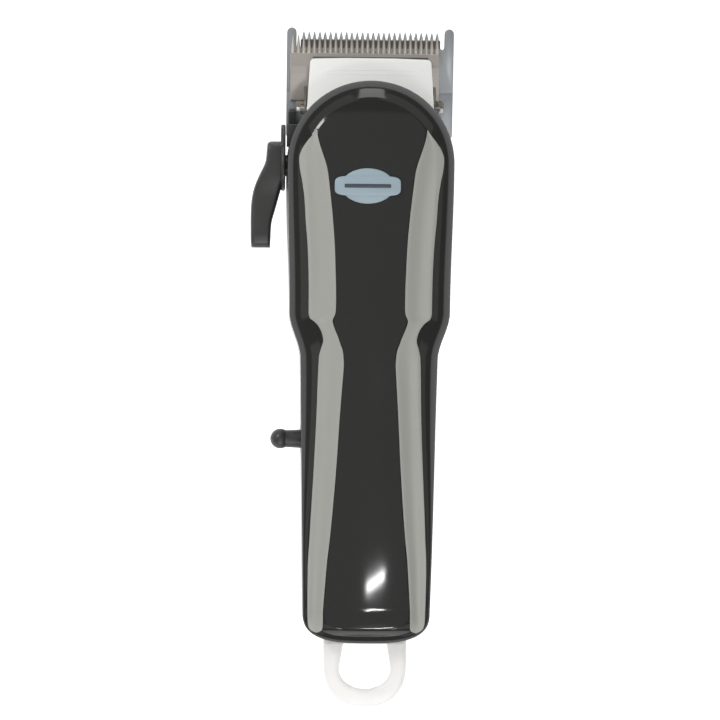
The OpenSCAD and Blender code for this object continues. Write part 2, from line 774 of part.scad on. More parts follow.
module blade_screws() {
    color("#85898c")
    at_blade() for (s = [-1, 1]) translate([s * blade_screw_x, blade_screw_u, 0]) difference() {
        union() {
            translate([0, 0, 0.04]) cylinder(d1 = 4.2, d2 = 2.2, h = 1);
            bar_z(2.2, 0.5, carrier_top - 0.05);
        }
        box([-3, -0.3, -1], [3, 0.3, 0.5]);
    }
}

ear_t = 1.6;
ear_x = 17.6;
window_half = cam_d / 2 + run;
ear_rim = 2.2;
cam_u = pivot_uw[0] - blade_travel / 2;
cam_low = cam_throw * cos(lever_swing / 2);
ear_u0 = cam_u - window_half - ear_rim;
ear_u1 = cam_u + window_half + ear_rim;
ear_top = pivot_uw[1] + cam_throw + window_half + ear_rim;

module blade_carrier() {
    u0 = u_of(seam_y);
    wide_u = u_of(y_tip - 15.8);
    rear_u = u_of(y_tip - 40);
    half = blade_w / 2;
    color("#8f9498")
    at_blade() difference() {
        union() {
            linear_extrude(carrier_top) polygon([
                [-half, u0 - touch], [-half, wide_u + 2], [-half + 2, wide_u], [-20.3, wide_u],
                [-20.3, rear_u + 3], [-17, rear_u], [17, rear_u], [20.3, rear_u + 3],
                [20.3, wide_u], [half - 2, wide_u], [half, wide_u + 2], [half, u0 - touch]
            ]);
            box([-ear_x - ear_t, ear_u0, 0], [-ear_x, ear_u1, ear_top]);
        }
        box([-18 - touch, u0 - tongue_len - touch, -1], [18 + touch, u0 + 1, tongue_t + touch]);
        // The cam's window
        low = pivot_uw[1] + cam_low - window_half - gap;
        box([-ear_x - ear_t - 1, cam_u - window_half, low], [-ear_x + 1, cam_u + window_half, ear_top - ear_rim + gap]);
        for (p = carrier_screw_sites) translate([p.x, p.y, 0]) {
            box([-1.3, -1.3 - blade_travel, -1], [1.3, 1.3, 5]);
            box([-2.6, -2.6 - blade_travel, -1], [2.6, 2.6, 1.1]);
        }
        for (s = [-1, 1]) translate([s * blade_screw_x, blade_screw_u, 0]) bar_z(2.2 + 2 * touch, 0, 5);
    }
}

module carrier_screws() {
    color("#85898c")
    at_blade() for (p = carrier_screw_sites) translate(p) difference() {
        union() {
            bar_z(4.6, 0.1, 1);
            bar_z(2.2, 0.5, bed_w - touch);
            bar_z(1.6, 1, bed_w + 3.5);
        }
        box([-3, -0.3, 0], [3, 0.3, 0.5]);
    }
}

module moving_cutter() {
    rear = u_of(cutter_rear_y);
    root = u_of(cutter_root_y);
    tip = u_of(cutter_tip_y);
    half = tooth_count * tooth_pitch / 2;
    gullet = tooth_pitch * 0.2;
    color("#cfc8b8")
    at_blade() translate([-crank_throw, 0, 0]) difference() {
        side_view(-half, half) polygon([
            [rear, cutter_w], [tip, cutter_w], [tip, cutter_w + 0.5], [root + 0.4, cutter_w + 0.9],
            [root - 3.6, cutter_top], [rear + 0.5, cutter_top], [rear, cutter_top - 0.5]
        ]);
        for (i = [0:tooth_count]) translate([(i - tooth_count / 2) * tooth_pitch, 0, 0])
            linear_extrude(12) polygon([
                [-gullet, root + 0.5], [0, root], [gullet, root + 0.5],
                [tooth_pitch * 0.4, tip + 0.4], [-tooth_pitch * 0.4, tip + 0.4]
            ]);
        for (s = [-1, 1]) translate([s * 7, yoke_screw_u, 0]) bar_z(1.6 + 2 * touch, cutter_w + 0.3, 20);
    }
}

// --- Taper lever --------------------------------------------------------------

lever_in = -head_r - rim - gap;
module at_lever() { translate([0, lever_y, lever_z]) children(); }
module taper_lever() {
    base_t = 1.3;
    out = lever_in - base_t;
    tip_y = -24;
    color("#19191a")
    at_lever() difference() {
        union() {
            bar_x(lever_hub_d, out, lever_in);
            side_view(out, lever_in) polygon([
                [5, -5], [10, -3], [11.4, -1], [11.4, 1], [10, 3], [5, 5]
            ]);
            translate([0, arm_y - lever_y, 0]) intersection() {
                translate([lever_in, 0, -7]) linear_extrude(14) polygon([
                    [0, 5.6], [-3.8, 5.6], [-4.7, 5], [-5.1, 3], [-5.4, -0.3], [-7.1, -3.6],
                    [-8.5, -7], [-9.3, -10.4], [-9.6, -14], [-9.6, -20.5], [-9.3, tip_y + 0.2],
                    [-8.5, tip_y], [-4.7, tip_y], [-4, tip_y + 0.8], [-3.8, -17], [-3.1, -13.5],
                    [-2.3, -9], [-0.6, -4], [0, -3]
                ]);
                side_view(-40, 0) polygon([
                    [5.8, -3], [5.8, 3], [3, 5.4], [-4, 5.2], [-10, 4.4], [-20, 4.6], [tip_y, 4.2],
                    [tip_y, -4.2], [-20, -4.6], [-10, -4.4], [-4, -5.2], [3, -5.4]
                ]);
            }
            bar_x(lever_shaft_d, lever_in - 0.5, -ear_x - ear_t - gap - touch);
            bar_x(3.6, -ear_x - ear_t - 1, -ear_x + gap - 0.2);
        }
        bar_x(1.7, -ear_x - 5, 0);
    }
}
module lever_cam() {
    color("#c9ccce")
    at_lever() difference() {
        rotate([blade_tilt, 0, 0]) translate([0, -blade_travel / 2, cam_low])
            bar_x(cam_d, -ear_x - ear_t - gap, -ear_x + gap);
        bar_x(3.6 + 2 * touch, -far, far);
    }
}
module lever_screw() {
    color("#85898c")
    at_lever() {
        bar_x(5.2, -ear_x + gap + touch, -ear_x + gap + 1.4);
        bar_x(1.6, -ear_x - 4.6, -ear_x + gap + 0.5);
    }
}

// --- Power --------------------------------------------------------------------

module at_cell() { translate([cell_x, 0, cell_z]) children(); }
module battery_cell() {
    color("#3b6ea8")
    at_cell() {
        bar_y(cell_d, cell_rear, cell_front - 1);
        bar_y(6, cell_front - 1.5, cell_front);
    }
}
module battery_contacts() {
    color("#c8ccd0")
    at_cell() {
        box([-3, cell_front + touch, -7], [3, cell_front + 0.3, 3]);
        box([-3, cell_rear - 0.3, -7], [3, cell_rear - touch, 3]);
    }
}
module battery_cradle() {
    color("#34363a")
    difference() {
        for (y = [cell_rear + 5, cell_front - 6])
            box([cell_x - 9, y, wall + touch], [cell_x + 9, y + 3, cell_z - 3]);
        at_cell() bar_y(cell_d + 2 * touch, -far, far);
    }
}
module circuit_board() {
    color("#1f6b45")
    difference() {
        box([-10, board_y0, board_z], [10, board_y1, board_z + 1.2]);
        for (y = [board_y0 + 6, board_y1 - 6]) translate([0, y, 0]) bar_z(1.8, 0, far);
    }
}
module board_screws() {
    color("#85898c")
    for (y = [board_y0 + 6, board_y1 - 6]) translate([0, y, 0]) {
        bar_z(3, board_z - 0.8, board_z - touch);
        bar_z(1.4, board_z - 0.4, board_z + 4);
    }
}
module board_parts() {
    color("#26282b")
    translate([0, board_y0, board_z + 1.2 + touch]) {
        box([-5, 12, 0], [1, 18, 1.4]);
        box([3, 16, 0], [7, 22, 1.2]);
        translate([-5.5, 26, 0]) bar_z(5, 0, 1.8);
        for (i = [0:3]) box([2 + i * 2, 10, 0], [3 + i * 2, 12, 0.6]);
    }
}
module switch_body() {
    color("#2c2d30")
    translate([0, toggle_y, toggle_z]) difference() {
        union() {
            box([-12.7, -6.5, -5], [-8.2, 6.5, 5]);
            for (s = [-1, 1]) box([-16.2, -2.6, s < 0 ? -4.2 : 2.7], [-12.6, 2.6, s < 0 ? -2.7 : 4.2]);
        }
        translate([toggle_x, 0, 0]) bar_z(2 + 2 * run, -6, 6);
    }
}
module switch_toggle() {
    stem_r = toggle_d / 2 - 0.35;
    root_r = toggle_d / 2 - 0.15;
    ball_r = toggle_d / 2;
    ball_x = ball_r - 11.8;
    color("#17181a")
    translate([toggle_x, toggle_y, toggle_z]) {
        bar_z(2, -4, 4);
        bar_z(4.6, -2.4, 2.4);
        rotate([0, 90, 0]) rotate_extrude() polygon([
            [0, 0.5], [0, ball_x - ball_r],
            for (i = [1:6]) let (a = i * 19) [ball_r * sin(a), ball_x - ball_r * cos(a)],
            [stem_r, ball_x + sqrt(ball_r * ball_r - stem_r * stem_r)], [root_r, -2.6], [root_r, 0.5]
        ]);
    }
}
module charging_socket() {
    color("#222326")
    translate([0, 0, socket_z]) difference() {
        union() {
            box([-4.5, y_rear + wall + 0.4, -4], [4.5, y_rear + 13, 4]);
            bar_y(6.6, y_rear + 0.4, y_rear + wall + 1);
        }
        bar_y(5.5, y_rear - 1, y_rear + 10);
    }
}
module socket_pin() {
    color("#c8ccd0")
    translate([0, 0, socket_z]) bar_y(1.6, y_rear + 2, y_rear + 10 - touch);
}
module charge_light() {
    color("#8fd19e")
    translate([7.5, 0, socket_z]) {
        bar_y(2.5, y_rear + 0.6, y_rear + 6);
    }
}

wire_d = 1.1;
module motor_wires() {
    color("#a02020")
    at_motor() for (s = [-1, 1]) wire(curve([
        [s * 7, motor_rear - 4.1, 0], [s * 7, motor_rear - 8, 0], [s * 7.4, board_y1 + 3, 0.4],
        [s * 7.4, board_y1 - 0.6, board_z + 2.2 - motor_z + wire_d / 2],
        [s * 7.4, board_y1 - 4, board_z + 1.24 - motor_z + wire_d / 2]
    ], 4), wire_d);
}
module battery_wires() {
    color("#202020")
    for (y = [cell_rear - 0.9, cell_front + 0.9]) let (s = y > cell_rear ? 1 : -1) wire(curve([
        [cell_x + 2.4, y, cell_z + 2], [cell_x + 5, y + s * 0.4, cell_z + 6], [cell_x + 8.5, y, board_z - 0.6],
        [cell_x + 10.4, y - s * 6, board_z - 0.5], [12.2, board_y0 + (s > 0 ? 18 : 2), board_z - 0.6]
    ], 4), wire_d);
}
module socket_wires() {
    color("#b02a2a")
    for (s = [-1, 1]) wire(curve([
        [s * 2.6, y_rear + 13.12, socket_z], [s * 2.6, y_rear + 14.6, socket_z],
        [s * 1.1 - 5, y_rear + 17.4, socket_z + 1], [s * 1.1 - 10, y_rear + 20.6, socket_z + 4],
        [s * 1.1 - 11, y_rear + 27, socket_z + 7], [s * 1.1 - 11, board_y0 - 8, board_z - 3],
        [s * 1.1 - 8, board_y0 - 2.4, board_z + 0.5], [s * 1.1 - 8, board_y0 - 0.12, board_z + 0.6]
    ], 4), wire_d);
}

top_cover();
left_inlay();
right_inlay();
badge();
lower_shell();
nose_plate();
hanging_loop();
housing_screws();
blade_guide();
cutter_guide();
tension_springs();
motor_can();
motor_bush();
motor_magnets();
motor_end_bell();
motor_terminals();
motor_shaft();
armature();
commutator();
crank();
motor_mount();
mount_screws();
motor_screws();
drive_yoke();
yoke_screws();
fixed_blade();
blade_screws();
blade_carrier();
carrier_screws();
moving_cutter();
taper_lever();
lever_cam();
lever_screw();
battery_cell();
battery_contacts();
battery_cradle();
circuit_board();
board_screws();
board_parts();
switch_body();
switch_toggle();
charging_socket();
socket_pin();
charge_light();
motor_wires();
battery_wires();
socket_wires();
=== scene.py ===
"""Looks of the cordless pet clipper: a glossy housing, steel blades, a taper lever and a hanging loop."""

import json
import logging
import math
from collections.abc import Callable, Sequence
from dataclasses import dataclass, field
from enum import Enum

import bmesh
import bpy
from mathutils import Matrix, Vector
from mathutils.bvhtree import BVHTree


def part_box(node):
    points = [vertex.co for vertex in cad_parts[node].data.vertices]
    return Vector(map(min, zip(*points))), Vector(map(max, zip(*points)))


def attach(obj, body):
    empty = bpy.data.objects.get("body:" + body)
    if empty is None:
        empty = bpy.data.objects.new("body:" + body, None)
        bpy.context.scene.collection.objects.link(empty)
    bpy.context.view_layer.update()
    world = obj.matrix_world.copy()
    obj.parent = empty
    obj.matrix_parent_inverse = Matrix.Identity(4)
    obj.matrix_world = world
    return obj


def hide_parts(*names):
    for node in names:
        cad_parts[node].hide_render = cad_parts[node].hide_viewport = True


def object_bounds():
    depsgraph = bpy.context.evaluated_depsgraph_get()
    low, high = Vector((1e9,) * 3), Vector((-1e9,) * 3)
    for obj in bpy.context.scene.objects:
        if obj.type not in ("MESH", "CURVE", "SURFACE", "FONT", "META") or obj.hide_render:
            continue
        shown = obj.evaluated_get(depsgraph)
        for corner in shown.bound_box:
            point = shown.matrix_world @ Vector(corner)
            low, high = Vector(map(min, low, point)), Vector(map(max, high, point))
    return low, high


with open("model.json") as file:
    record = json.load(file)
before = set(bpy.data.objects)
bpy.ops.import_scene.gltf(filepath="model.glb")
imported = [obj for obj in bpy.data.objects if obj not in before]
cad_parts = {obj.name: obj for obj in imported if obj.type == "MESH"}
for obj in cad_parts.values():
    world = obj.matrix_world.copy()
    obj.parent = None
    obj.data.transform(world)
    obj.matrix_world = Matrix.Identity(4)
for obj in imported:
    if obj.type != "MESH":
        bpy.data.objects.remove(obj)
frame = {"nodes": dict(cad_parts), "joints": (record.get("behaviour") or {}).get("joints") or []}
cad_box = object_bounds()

logging.basicConfig(level=logging.INFO, format="%(message)s")
log = logging.getLogger("clipper")

MM = 0.001
Pair = tuple[float, float]
Triple = tuple[float, float, float]
Rule = Callable[[float], float]


# --- Numbers and curves ---------------------------------------------------------


def mix(a: float, b: float, t: float) -> float:
    """A number part of the way from a to b."""
    return a + (b - a) * t


def clamp(v: float, low: float, high: float) -> float:
    """v, kept between two limits."""
    return min(high, max(low, v))


def smooth(t: float) -> float:
    """An ease from 0 to 1 with level ends."""
    s = clamp(t, 0.0, 1.0)
    return s * s * (3 - 2 * s)


def power(v: float, exponent: float) -> float:
    """A power that keeps the sign of v."""
    return math.copysign(abs(v) ** exponent, v)


def curve_through(stations: Sequence[Pair]) -> Rule:
    """A smooth curve through a few stations.

    Args:
        stations: pairs of place and value, with the places going up.

    Returns:
        A function that gives the value at any place.
    """
    places = [s[0] for s in stations]
    values = [s[1] for s in stations]
    last = len(stations) - 1
    slopes = []
    for i in range(last + 1):
        low, high = max(i - 1, 0), min(i + 1, last)
        slopes.append((values[high] - values[low]) / (places[high] - places[low]))

    def value(place: float) -> float:
        """The value at one place, level with the end stations beyond them."""
        if place <= places[0]:
            return values[0]
        if place >= places[last]:
            return values[last]
        i = max(k for k in range(last) if places[k] <= place)
        span = places[i + 1] - places[i]
        t = (place - places[i]) / span
        return (
            (2 * t**3 - 3 * t**2 + 1) * values[i]
            + (t**3 - 2 * t**2 + t) * span * slopes[i]
            + (3 * t**2 - 2 * t**3) * values[i + 1]
            + (t**3 - t**2) * span * slopes[i + 1]
        )

    return value


def steps(low: float, high: float, count: int) -> list[float]:
    """Evenly spaced numbers from low to high, both included."""
    return [mix(low, high, i / (count - 1)) for i in range(count)]


# --- Meshes ---------------------------------------------------------------------


@dataclass
class Solid:
    """A mesh being made, in millimetres."""

    points: list[Triple] = field(default_factory=list)
    faces: list[tuple[int, ...]] = field(default_factory=list)

    def rows(self, rings: Sequence[Sequence[Triple]], ends: bool = True, loop: bool = False) -> "Solid":
        """Adds a skin through closed rings of points.

        Args:
            rings: rings with the same number of points each.
            ends: whether both ends are closed with a face.
            loop: whether the last ring joins the first.

        Returns:
            This solid.
        """
        base, size = len(self.points), len(rings[0])
        for one in rings:
            self.points.extend(one)
        spans = len(rings) if loop else len(rings) - 1
        for k in range(spans):
            a, b = base + k * size, base + (k + 1) % len(rings) * size
            for i in range(size):
                j = (i + 1) % size
                self.faces.append((a + i, a + j, b + j, b + i))
        if ends and not loop:
            self.faces.append(tuple(base + i for i in reversed(range(size))))
            self.faces.append(tuple(base + (len(rings) - 1) * size + i for i in range(size)))
        return self

    def sheet(self, top: Sequence[Sequence[Triple]], under: Sequence[Sequence[Triple]]) -> "Solid":
        """Adds a slab between two grids of the same size, closed all round.

        Args:
            top: rows of points on the upper side.
            under: rows of points on the lower side.

        Returns:
            This solid.
        """
        tall, wide = len(top), len(top[0])
        base = len(self.points)
        for grid in (top, under):
            for row in grid:
                self.points.extend(row)
        low = base + tall * wide

        def at(start: int, i: int, j: int) -> int:
            """The index of one point of a grid."""
            return start + i * wide + j

        for i in range(tall - 1):
            for j in range(wide - 1):
                self.faces.append(
                    (at(base, i, j), at(base, i, j + 1), at(base, i + 1, j + 1), at(base, i + 1, j))
                )
                self.faces.append(
                    (at(low, i, j), at(low, i + 1, j), at(low, i + 1, j + 1), at(low, i, j + 1))
                )
        rim = [(0, j) for j in range(wide)] + [(i, wide - 1) for i in range(1, tall)]
        rim += [(tall - 1, j) for j in range(wide - 2, -1, -1)] + [(i, 0) for i in range(tall - 2, 0, -1)]
        for (i, j), (m, n) in zip(rim, rim[1:] + rim[:1]):
            self.faces.append((at(base, m, n), at(base, i, j), at(low, i, j), at(low, m, n)))
        return self

    def block(self, low: Triple, high: Triple) -> "Solid":
        """Adds a box between two corners."""
        ring = [(low[0], low[1]), (high[0], low[1]), (high[0], high[1]), (low[0], high[1])]
        return self.prism(ring, low[2], high[2])

    def prism(self, outline: Sequence[Pair], low: float, high: float) -> "Solid":
        """Adds an outline pulled straight up from one height to another."""
        return self.rows([[(x, y, low) for x, y in outline], [(x, y, high) for x, y in outline]])

    def turned(self, profile: Sequence[Pair], sides: int = 48) -> "Solid":
        """Adds a lathe shape about Z.

        Args:
            profile: pairs of radius and height, from the lower pole up.
            sides: how many points lie round it.

        Returns:
            This solid.
        """
        rings = []
        for radius, height in profile:
            r = max(radius, 0.0004)
            rings.append([
                (r * math.cos(2 * math.pi * i / sides), r * math.sin(2 * math.pi * i / sides), height)
                for i in range(sides)
            ])
        return self.rows(rings)

    def moved(self, place: Matrix) -> "Solid":
        """Moves every point by a matrix whose shift is in millimetres."""
        self.points = [tuple(place @ Vector(p)) for p in self.points]
        return self

    def joined(self, other: "Solid") -> "Solid":
        """Adds another solid's skin to this one."""
        base = len(self.points)
        self.points.extend(other.points)
        self.faces.extend(tuple(base + i for i in f) for f in other.faces)
        return self

    def made(self, name: str) -> bpy.types.Object:
        """Makes the object in metres, with doubles merged and faces outwards."""
        mesh = bpy.data.meshes.new(name)
        mesh.from_pydata([tuple(c * MM for c in p) for p in self.points], [], self.faces)
        grid = bmesh.new()
        grid.from_mesh(mesh)
        bmesh.ops.remove_doubles(grid, verts=grid.verts, dist=0.002 * MM)
        bmesh.ops.dissolve_degenerate(grid, edges=grid.edges, dist=0.0005 * MM)
        bmesh.ops.recalc_face_normals(grid, faces=grid.faces)
        grid.to_mesh(mesh)
        grid.free()
        obj = bpy.data.objects.new(name, mesh)
        bpy.context.scene.collection.objects.link(obj)
        return obj


def baked(obj: bpy.types.Object) -> bpy.types.Object:
    """Turns an object's modifiers into plain mesh and clears them."""
    bpy.context.view_layer.update()
    graph = bpy.context.evaluated_depsgraph_get()
    mesh = bpy.data.meshes.new_from_object(
        obj.evaluated_get(graph), preserve_all_data_layers=True, depsgraph=graph
    )
    obj.modifiers.clear()
    obj.data = mesh
    return obj


def shaded(obj: bpy.types.Object, angle: float = 32.0) -> bpy.types.Object:
    """Shades an object smooth, and keeps edges over an angle in degrees sharp."""
    mesh = obj.data
    mesh.polygons.foreach_set("use_smooth", [True] * len(mesh.polygons))
    mesh.set_sharp_from_angle(angle=math.radians(angle))
    return obj


def eased(obj: bpy.types.Object, width: float, segments: int = 2, angle: float = 32.0) -> bpy.types.Object:
    """Rounds the sharp edges of an object.

    Args:
        obj: the object.
        width: how wide the rounding is, in millimetres.
        segments: how many steps it has.
        angle: the least angle of a sharp edge, in degrees.

    Returns:
        The same object.
    """
    bevel = obj.modifiers.new("ease", "BEVEL")
    bevel.width = width * MM
    bevel.segments = segments
    bevel.limit_method = "ANGLE"
    bevel.angle_limit = math.radians(angle)
    bevel.use_clamp_overlap = True
    return shaded(baked(obj), angle)


def cut(obj: bpy.types.Object, *tools: Solid) -> bpy.types.Object:
    """Cuts solids out of an object, one after another."""
    for tool in tools:
        knife = tool.made("knife")
        step = obj.modifiers.new("cut", "BOOLEAN")
        step.operation = "DIFFERENCE"
        step.solver = "EXACT"
        step.object = knife
        baked(obj)
        bpy.data.objects.remove(knife)
    return obj


def copied(node: str) -> bpy.types.Object:
    """A copy of a CAD node, with its doubles merged and its flat faces whole."""
    source = frame["nodes"][node]
    mesh = source.data.copy()
    grid = bmesh.new()
    grid.from_mesh(mesh)
    bmesh.ops.remove_doubles(grid, verts=grid.verts, dist=0.001 * MM)
    bmesh.ops.dissolve_limit(grid, angle_limit=math.radians(0.6), verts=grid.verts, edges=grid.edges)
    grid.to_mesh(mesh)
    grid.free()
    mesh.materials.clear()
    obj = bpy.data.objects.new(node + "_eased", mesh)
    bpy.context.scene.collection.objects.link(obj)
    return obj


# --- Geometry Nodes -------------------------------------------------------------


class Repeat:
    """A node tree that sets a unit on every point of a mesh."""

    def __init__(self) -> None:
        """Builds the tree."""
        tree = bpy.data.node_groups.new("set_unit_on_points", "GeometryNodeTree")
        face = tree.interface
        face.new_socket("Geometry", in_out="INPUT", socket_type="NodeSocketGeometry")
        face.new_socket("Unit", in_out="INPUT", socket_type="NodeSocketObject")
        face.new_socket("Scale", in_out="INPUT", socket_type="NodeSocketFloat").default_value = 1.0
        face.new_socket("Material", in_out="INPUT", socket_type="NodeSocketMaterial")
        face.new_socket("Geometry", in_out="OUTPUT", socket_type="NodeSocketGeometry")
        nodes, links = tree.nodes, tree.links
        start = nodes.new("NodeGroupInput")
        unit = nodes.new("GeometryNodeObjectInfo")
        setter = nodes.new("GeometryNodeInstanceOnPoints")
        real = nodes.new("GeometryNodeRealizeInstances")
        dress = nodes.new("GeometryNodeSetMaterial")
        end = nodes.new("NodeGroupOutput")
        links.new(start.outputs["Unit"], unit.inputs["Object"])
        links.new(start.outputs["Geometry"], setter.inputs["Points"])
        links.new(unit.outputs["Geometry"], setter.inputs["Instance"])
        links.new(start.outputs["Scale"], setter.inputs["Scale"])
        links.new(setter.outputs["Instances"], real.inputs["Geometry"])
        links.new(real.outputs["Geometry"], dress.inputs["Geometry"])
        links.new(start.outputs["Material"], dress.inputs["Material"])
        links.new(dress.outputs["Geometry"], end.inputs["Geometry"])
        self.tree = tree

    def along(
        self, name: str, places: Sequence[Triple], unit: bpy.types.Object, finish: bpy.types.Material
    ) -> bpy.types.Object:
        """Sets the unit at each place.

        Args:
            name: the new object's name.
            places: where the units' origins go, in millimetres.
            unit: the object that is repeated; it is removed afterwards.
            finish: the material.

        Returns:
            One plain mesh with all the units.
        """
        obj = points_object(name, places)
        run_tree(obj, self.tree, {"Unit": unit, "Scale": 1.0, "Material": finish})
        bpy.data.objects.remove(unit)
        return obj


class Sweep:
    """A node tree that pulls a round section along a path."""

    def __init__(self) -> None:
        """Builds the tree."""
        tree = bpy.data.node_groups.new("round_wire_on_path", "GeometryNodeTree")
        face = tree.interface
        face.new_socket("Geometry", in_out="INPUT", socket_type="NodeSocketGeometry")
        face.new_socket("Radius", in_out="INPUT", socket_type="NodeSocketFloat").default_value = 0.3 * MM
        face.new_socket("Sides", in_out="INPUT", socket_type="NodeSocketInt").default_value = 12
        face.new_socket("Material", in_out="INPUT", socket_type="NodeSocketMaterial")
        face.new_socket("Geometry", in_out="OUTPUT", socket_type="NodeSocketGeometry")
        nodes, links = tree.nodes, tree.links
        start = nodes.new("NodeGroupInput")
        path = nodes.new("GeometryNodeMeshToCurve")
        ring = nodes.new("GeometryNodeCurvePrimitiveCircle")
        skin = nodes.new("GeometryNodeCurveToMesh")
        real = nodes.new("GeometryNodeRealizeInstances")
        dress = nodes.new("GeometryNodeSetMaterial")
        end = nodes.new("NodeGroupOutput")
        skin.inputs["Fill Caps"].default_value = True
        links.new(start.outputs["Geometry"], path.inputs["Mesh"])
        links.new(path.outputs["Curve"], skin.inputs["Curve"])
        links.new(start.outputs["Radius"], ring.inputs["Radius"])
        links.new(start.outputs["Sides"], ring.inputs["Resolution"])
        links.new(ring.outputs["Curve"], skin.inputs["Profile Curve"])
        links.new(skin.outputs["Mesh"], real.inputs["Geometry"])
        links.new(real.outputs["Geometry"], dress.inputs["Geometry"])
        links.new(start.outputs["Material"], dress.inputs["Material"])
        links.new(dress.outputs["Geometry"], end.inputs["Geometry"])
        self.tree = tree

    def along(
        self, name: str, paths: Sequence[Sequence[Triple]], radius: float, finish: bpy.types.Material
    ) -> bpy.types.Object:
        """Pulls a wire along each path.

        Args:
            name: the new object's name.
            paths: lists of points in millimetres.
            radius: the wire's radius in millimetres.
            finish: the material.

        Returns:
            One plain mesh with all the wires.
        """
        obj = points_object(name, paths[0], *paths[1:])
        run_tree(obj, self.tree, {"Radius": radius * MM, "Sides": 14, "Material": finish})
        return obj


def points_object(name: str, *paths: Sequence[Triple]) -> bpy.types.Object:
    """An object of bare points, joined in order by edges within each path."""
    mesh = bpy.data.meshes.new(name)
    points: list[Triple] = []
    edges: list[tuple[int, int]] = []
    for path in paths:
        base = len(points)
        points.extend(tuple(c * MM for c in p) for p in path)
        edges.extend((base + i, base + i + 1) for i in range(len(path) - 1))
    mesh.from_pydata(points, edges, [])
    obj = bpy.data.objects.new(name, mesh)
    bpy.context.scene.collection.objects.link(obj)
    return obj


def run_tree(obj: bpy.types.Object, tree: bpy.types.NodeTree, values: dict[str, object]) -> bpy.types.Object:
    """Runs a node tree on an object with the named inputs, and keeps the plain mesh."""
    step = obj.modifiers.new("nodes", "NODES")
    step.node_group = tree
    for item in tree.interface.items_tree:
        if item.item_type == "SOCKET" and item.in_out == "INPUT" and item.name in values:
            step[item.identifier] = values[item.name]
    return baked(obj)


# --- Shaders --------------------------------------------------------------------


class Grain(Enum):
    """How a surface was made."""

    MOULDED = "moulded"
    LACQUERED = "lacquered"
    BRUSHED_ACROSS = "brushed_across"
    BRUSHED_ALONG = "brushed_along"
    ROUND_TURNED = "turned"
    MILKY = "milky"


@dataclass(frozen=True)
class Finish:
    """One finish: what it is made of and how it takes the light."""

    name: str
    colour: Triple
    roughness: float
    metal: float = 0.0
    grain: Grain = Grain.MOULDED
    tone: float = 0.06
    relief: float = 0.02
    coat: float = 0.0
    clear: float = 0.0
    sheen_rough: float = 0.05
    shine: float = 0.5


class Value:
    """A shader socket that takes part in Python expressions."""

    def __init__(self, maker: "Maker", socket: bpy.types.NodeSocket) -> None:
        """Wraps one socket."""
        self.maker = maker
        self.socket = socket

    def _math(self, kind: str, first: object, second: object) -> "Value":
        """A Math node of one kind on two values or numbers."""
        return self.maker.node("ShaderNodeMath", {"operation": kind}, {0: first, 1: second}, 0)

    def __add__(self, other: object) -> "Value":
        """The sum."""
        return self._math("ADD", self, other)

    def __radd__(self, other: object) -> "Value":
        """The sum, with the number first."""
        return self._math("ADD", other, self)

    def __sub__(self, other: object) -> "Value":
        """The difference."""
        return self._math("SUBTRACT", self, other)

    def __rsub__(self, other: object) -> "Value":
        """The difference, with the number first."""
        return self._math("SUBTRACT", other, self)

    def __mul__(self, other: object) -> "Value":
        """The product."""
        return self._math("MULTIPLY", self, other)

    def __rmul__(self, other: object) -> "Value":
        """The product, with the number first."""
        return self._math("MULTIPLY", other, self)


class Maker:
    """Builds one material's nodes."""

    def __init__(self, name: str) -> None:
        """Makes the empty material."""
        self.material = bpy.data.materials.new(name)
        self.material.use_nodes = True
        self.tree = self.material.node_tree
        self.shader = next(n for n in self.tree.nodes if n.type == "BSDF_PRINCIPLED")

    def node(
        self, kind: str, settings: dict[str, object], inputs: dict[object, object], output: object
    ) -> Value:
        """Makes one node.

        Args:
            kind: the node's type.
            settings: its properties, set first.
            inputs: values, wrapped sockets or tuples for its inputs.
            output: the name or number of the output that is wanted.

        Returns:
            That output, wrapped.
        """
        made = self.tree.nodes.new(kind)
        for key, setting in settings.items():
            if key == "stops":
                ramp = made.color_ramp
                for i, (place, shade) in enumerate(setting):
                    stop = ramp.elements[i] if i < 2 else ramp.elements.new(place)
                    stop.position = place
                    stop.color = (shade, shade, shade, 1.0)
            else:
                setattr(made, key, setting)
        for key, value in inputs.items():
            self.feed(made.inputs[key], value)
        return Value(self, made.outputs[output])

    def feed(self, socket: bpy.types.NodeSocket, value: object) -> None:
        """Links a wrapped socket to a socket, or sets the plain value on it."""
        if isinstance(value, Value):
            self.tree.links.new(value.socket, socket)
        elif isinstance(value, tuple) and socket.type == "RGBA" and len(value) == 3:
            socket.default_value = (*value, 1.0)
        else:
            socket.default_value = value

    def place(self, stretch: Triple) -> Value:
        """Object coordinates, stretched by a factor along each axis."""
        raw = self.node("ShaderNodeTexCoord", {}, {}, "Object")
        return self.node("ShaderNodeMapping", {}, {"Vector": raw, "Scale": stretch}, "Vector")

    def noise(self, stretch: Triple, detail: float = 3.0, rough: float = 0.55) -> Value:
        """Noise from 0 to 1, with so many cells to a metre along each axis."""
        return self.node(
            "ShaderNodeTexNoise", {}, {
                "Vector": self.place(stretch), "Scale": 1.0, "Detail": detail, "Roughness": rough
            }, "Fac"
        )

    def blend(self, share: object, first: Triple, second: Triple) -> Value:
        """A colour between two colours."""
        made = self.tree.nodes.new("ShaderNodeMix")
        made.data_type = "RGBA"
        self.feed(made.inputs[0], share)
        self.feed(made.inputs[6], first)
        self.feed(made.inputs[7], second)
        return Value(self, made.outputs[2])

    def relief(self, height: Value, depth: float) -> Value:
        """A bump of so many millimetres."""
        return self.node(
            "ShaderNodeBump", {}, {"Height": height, "Distance": depth * MM, "Strength": 1.0}, "Normal"
        )


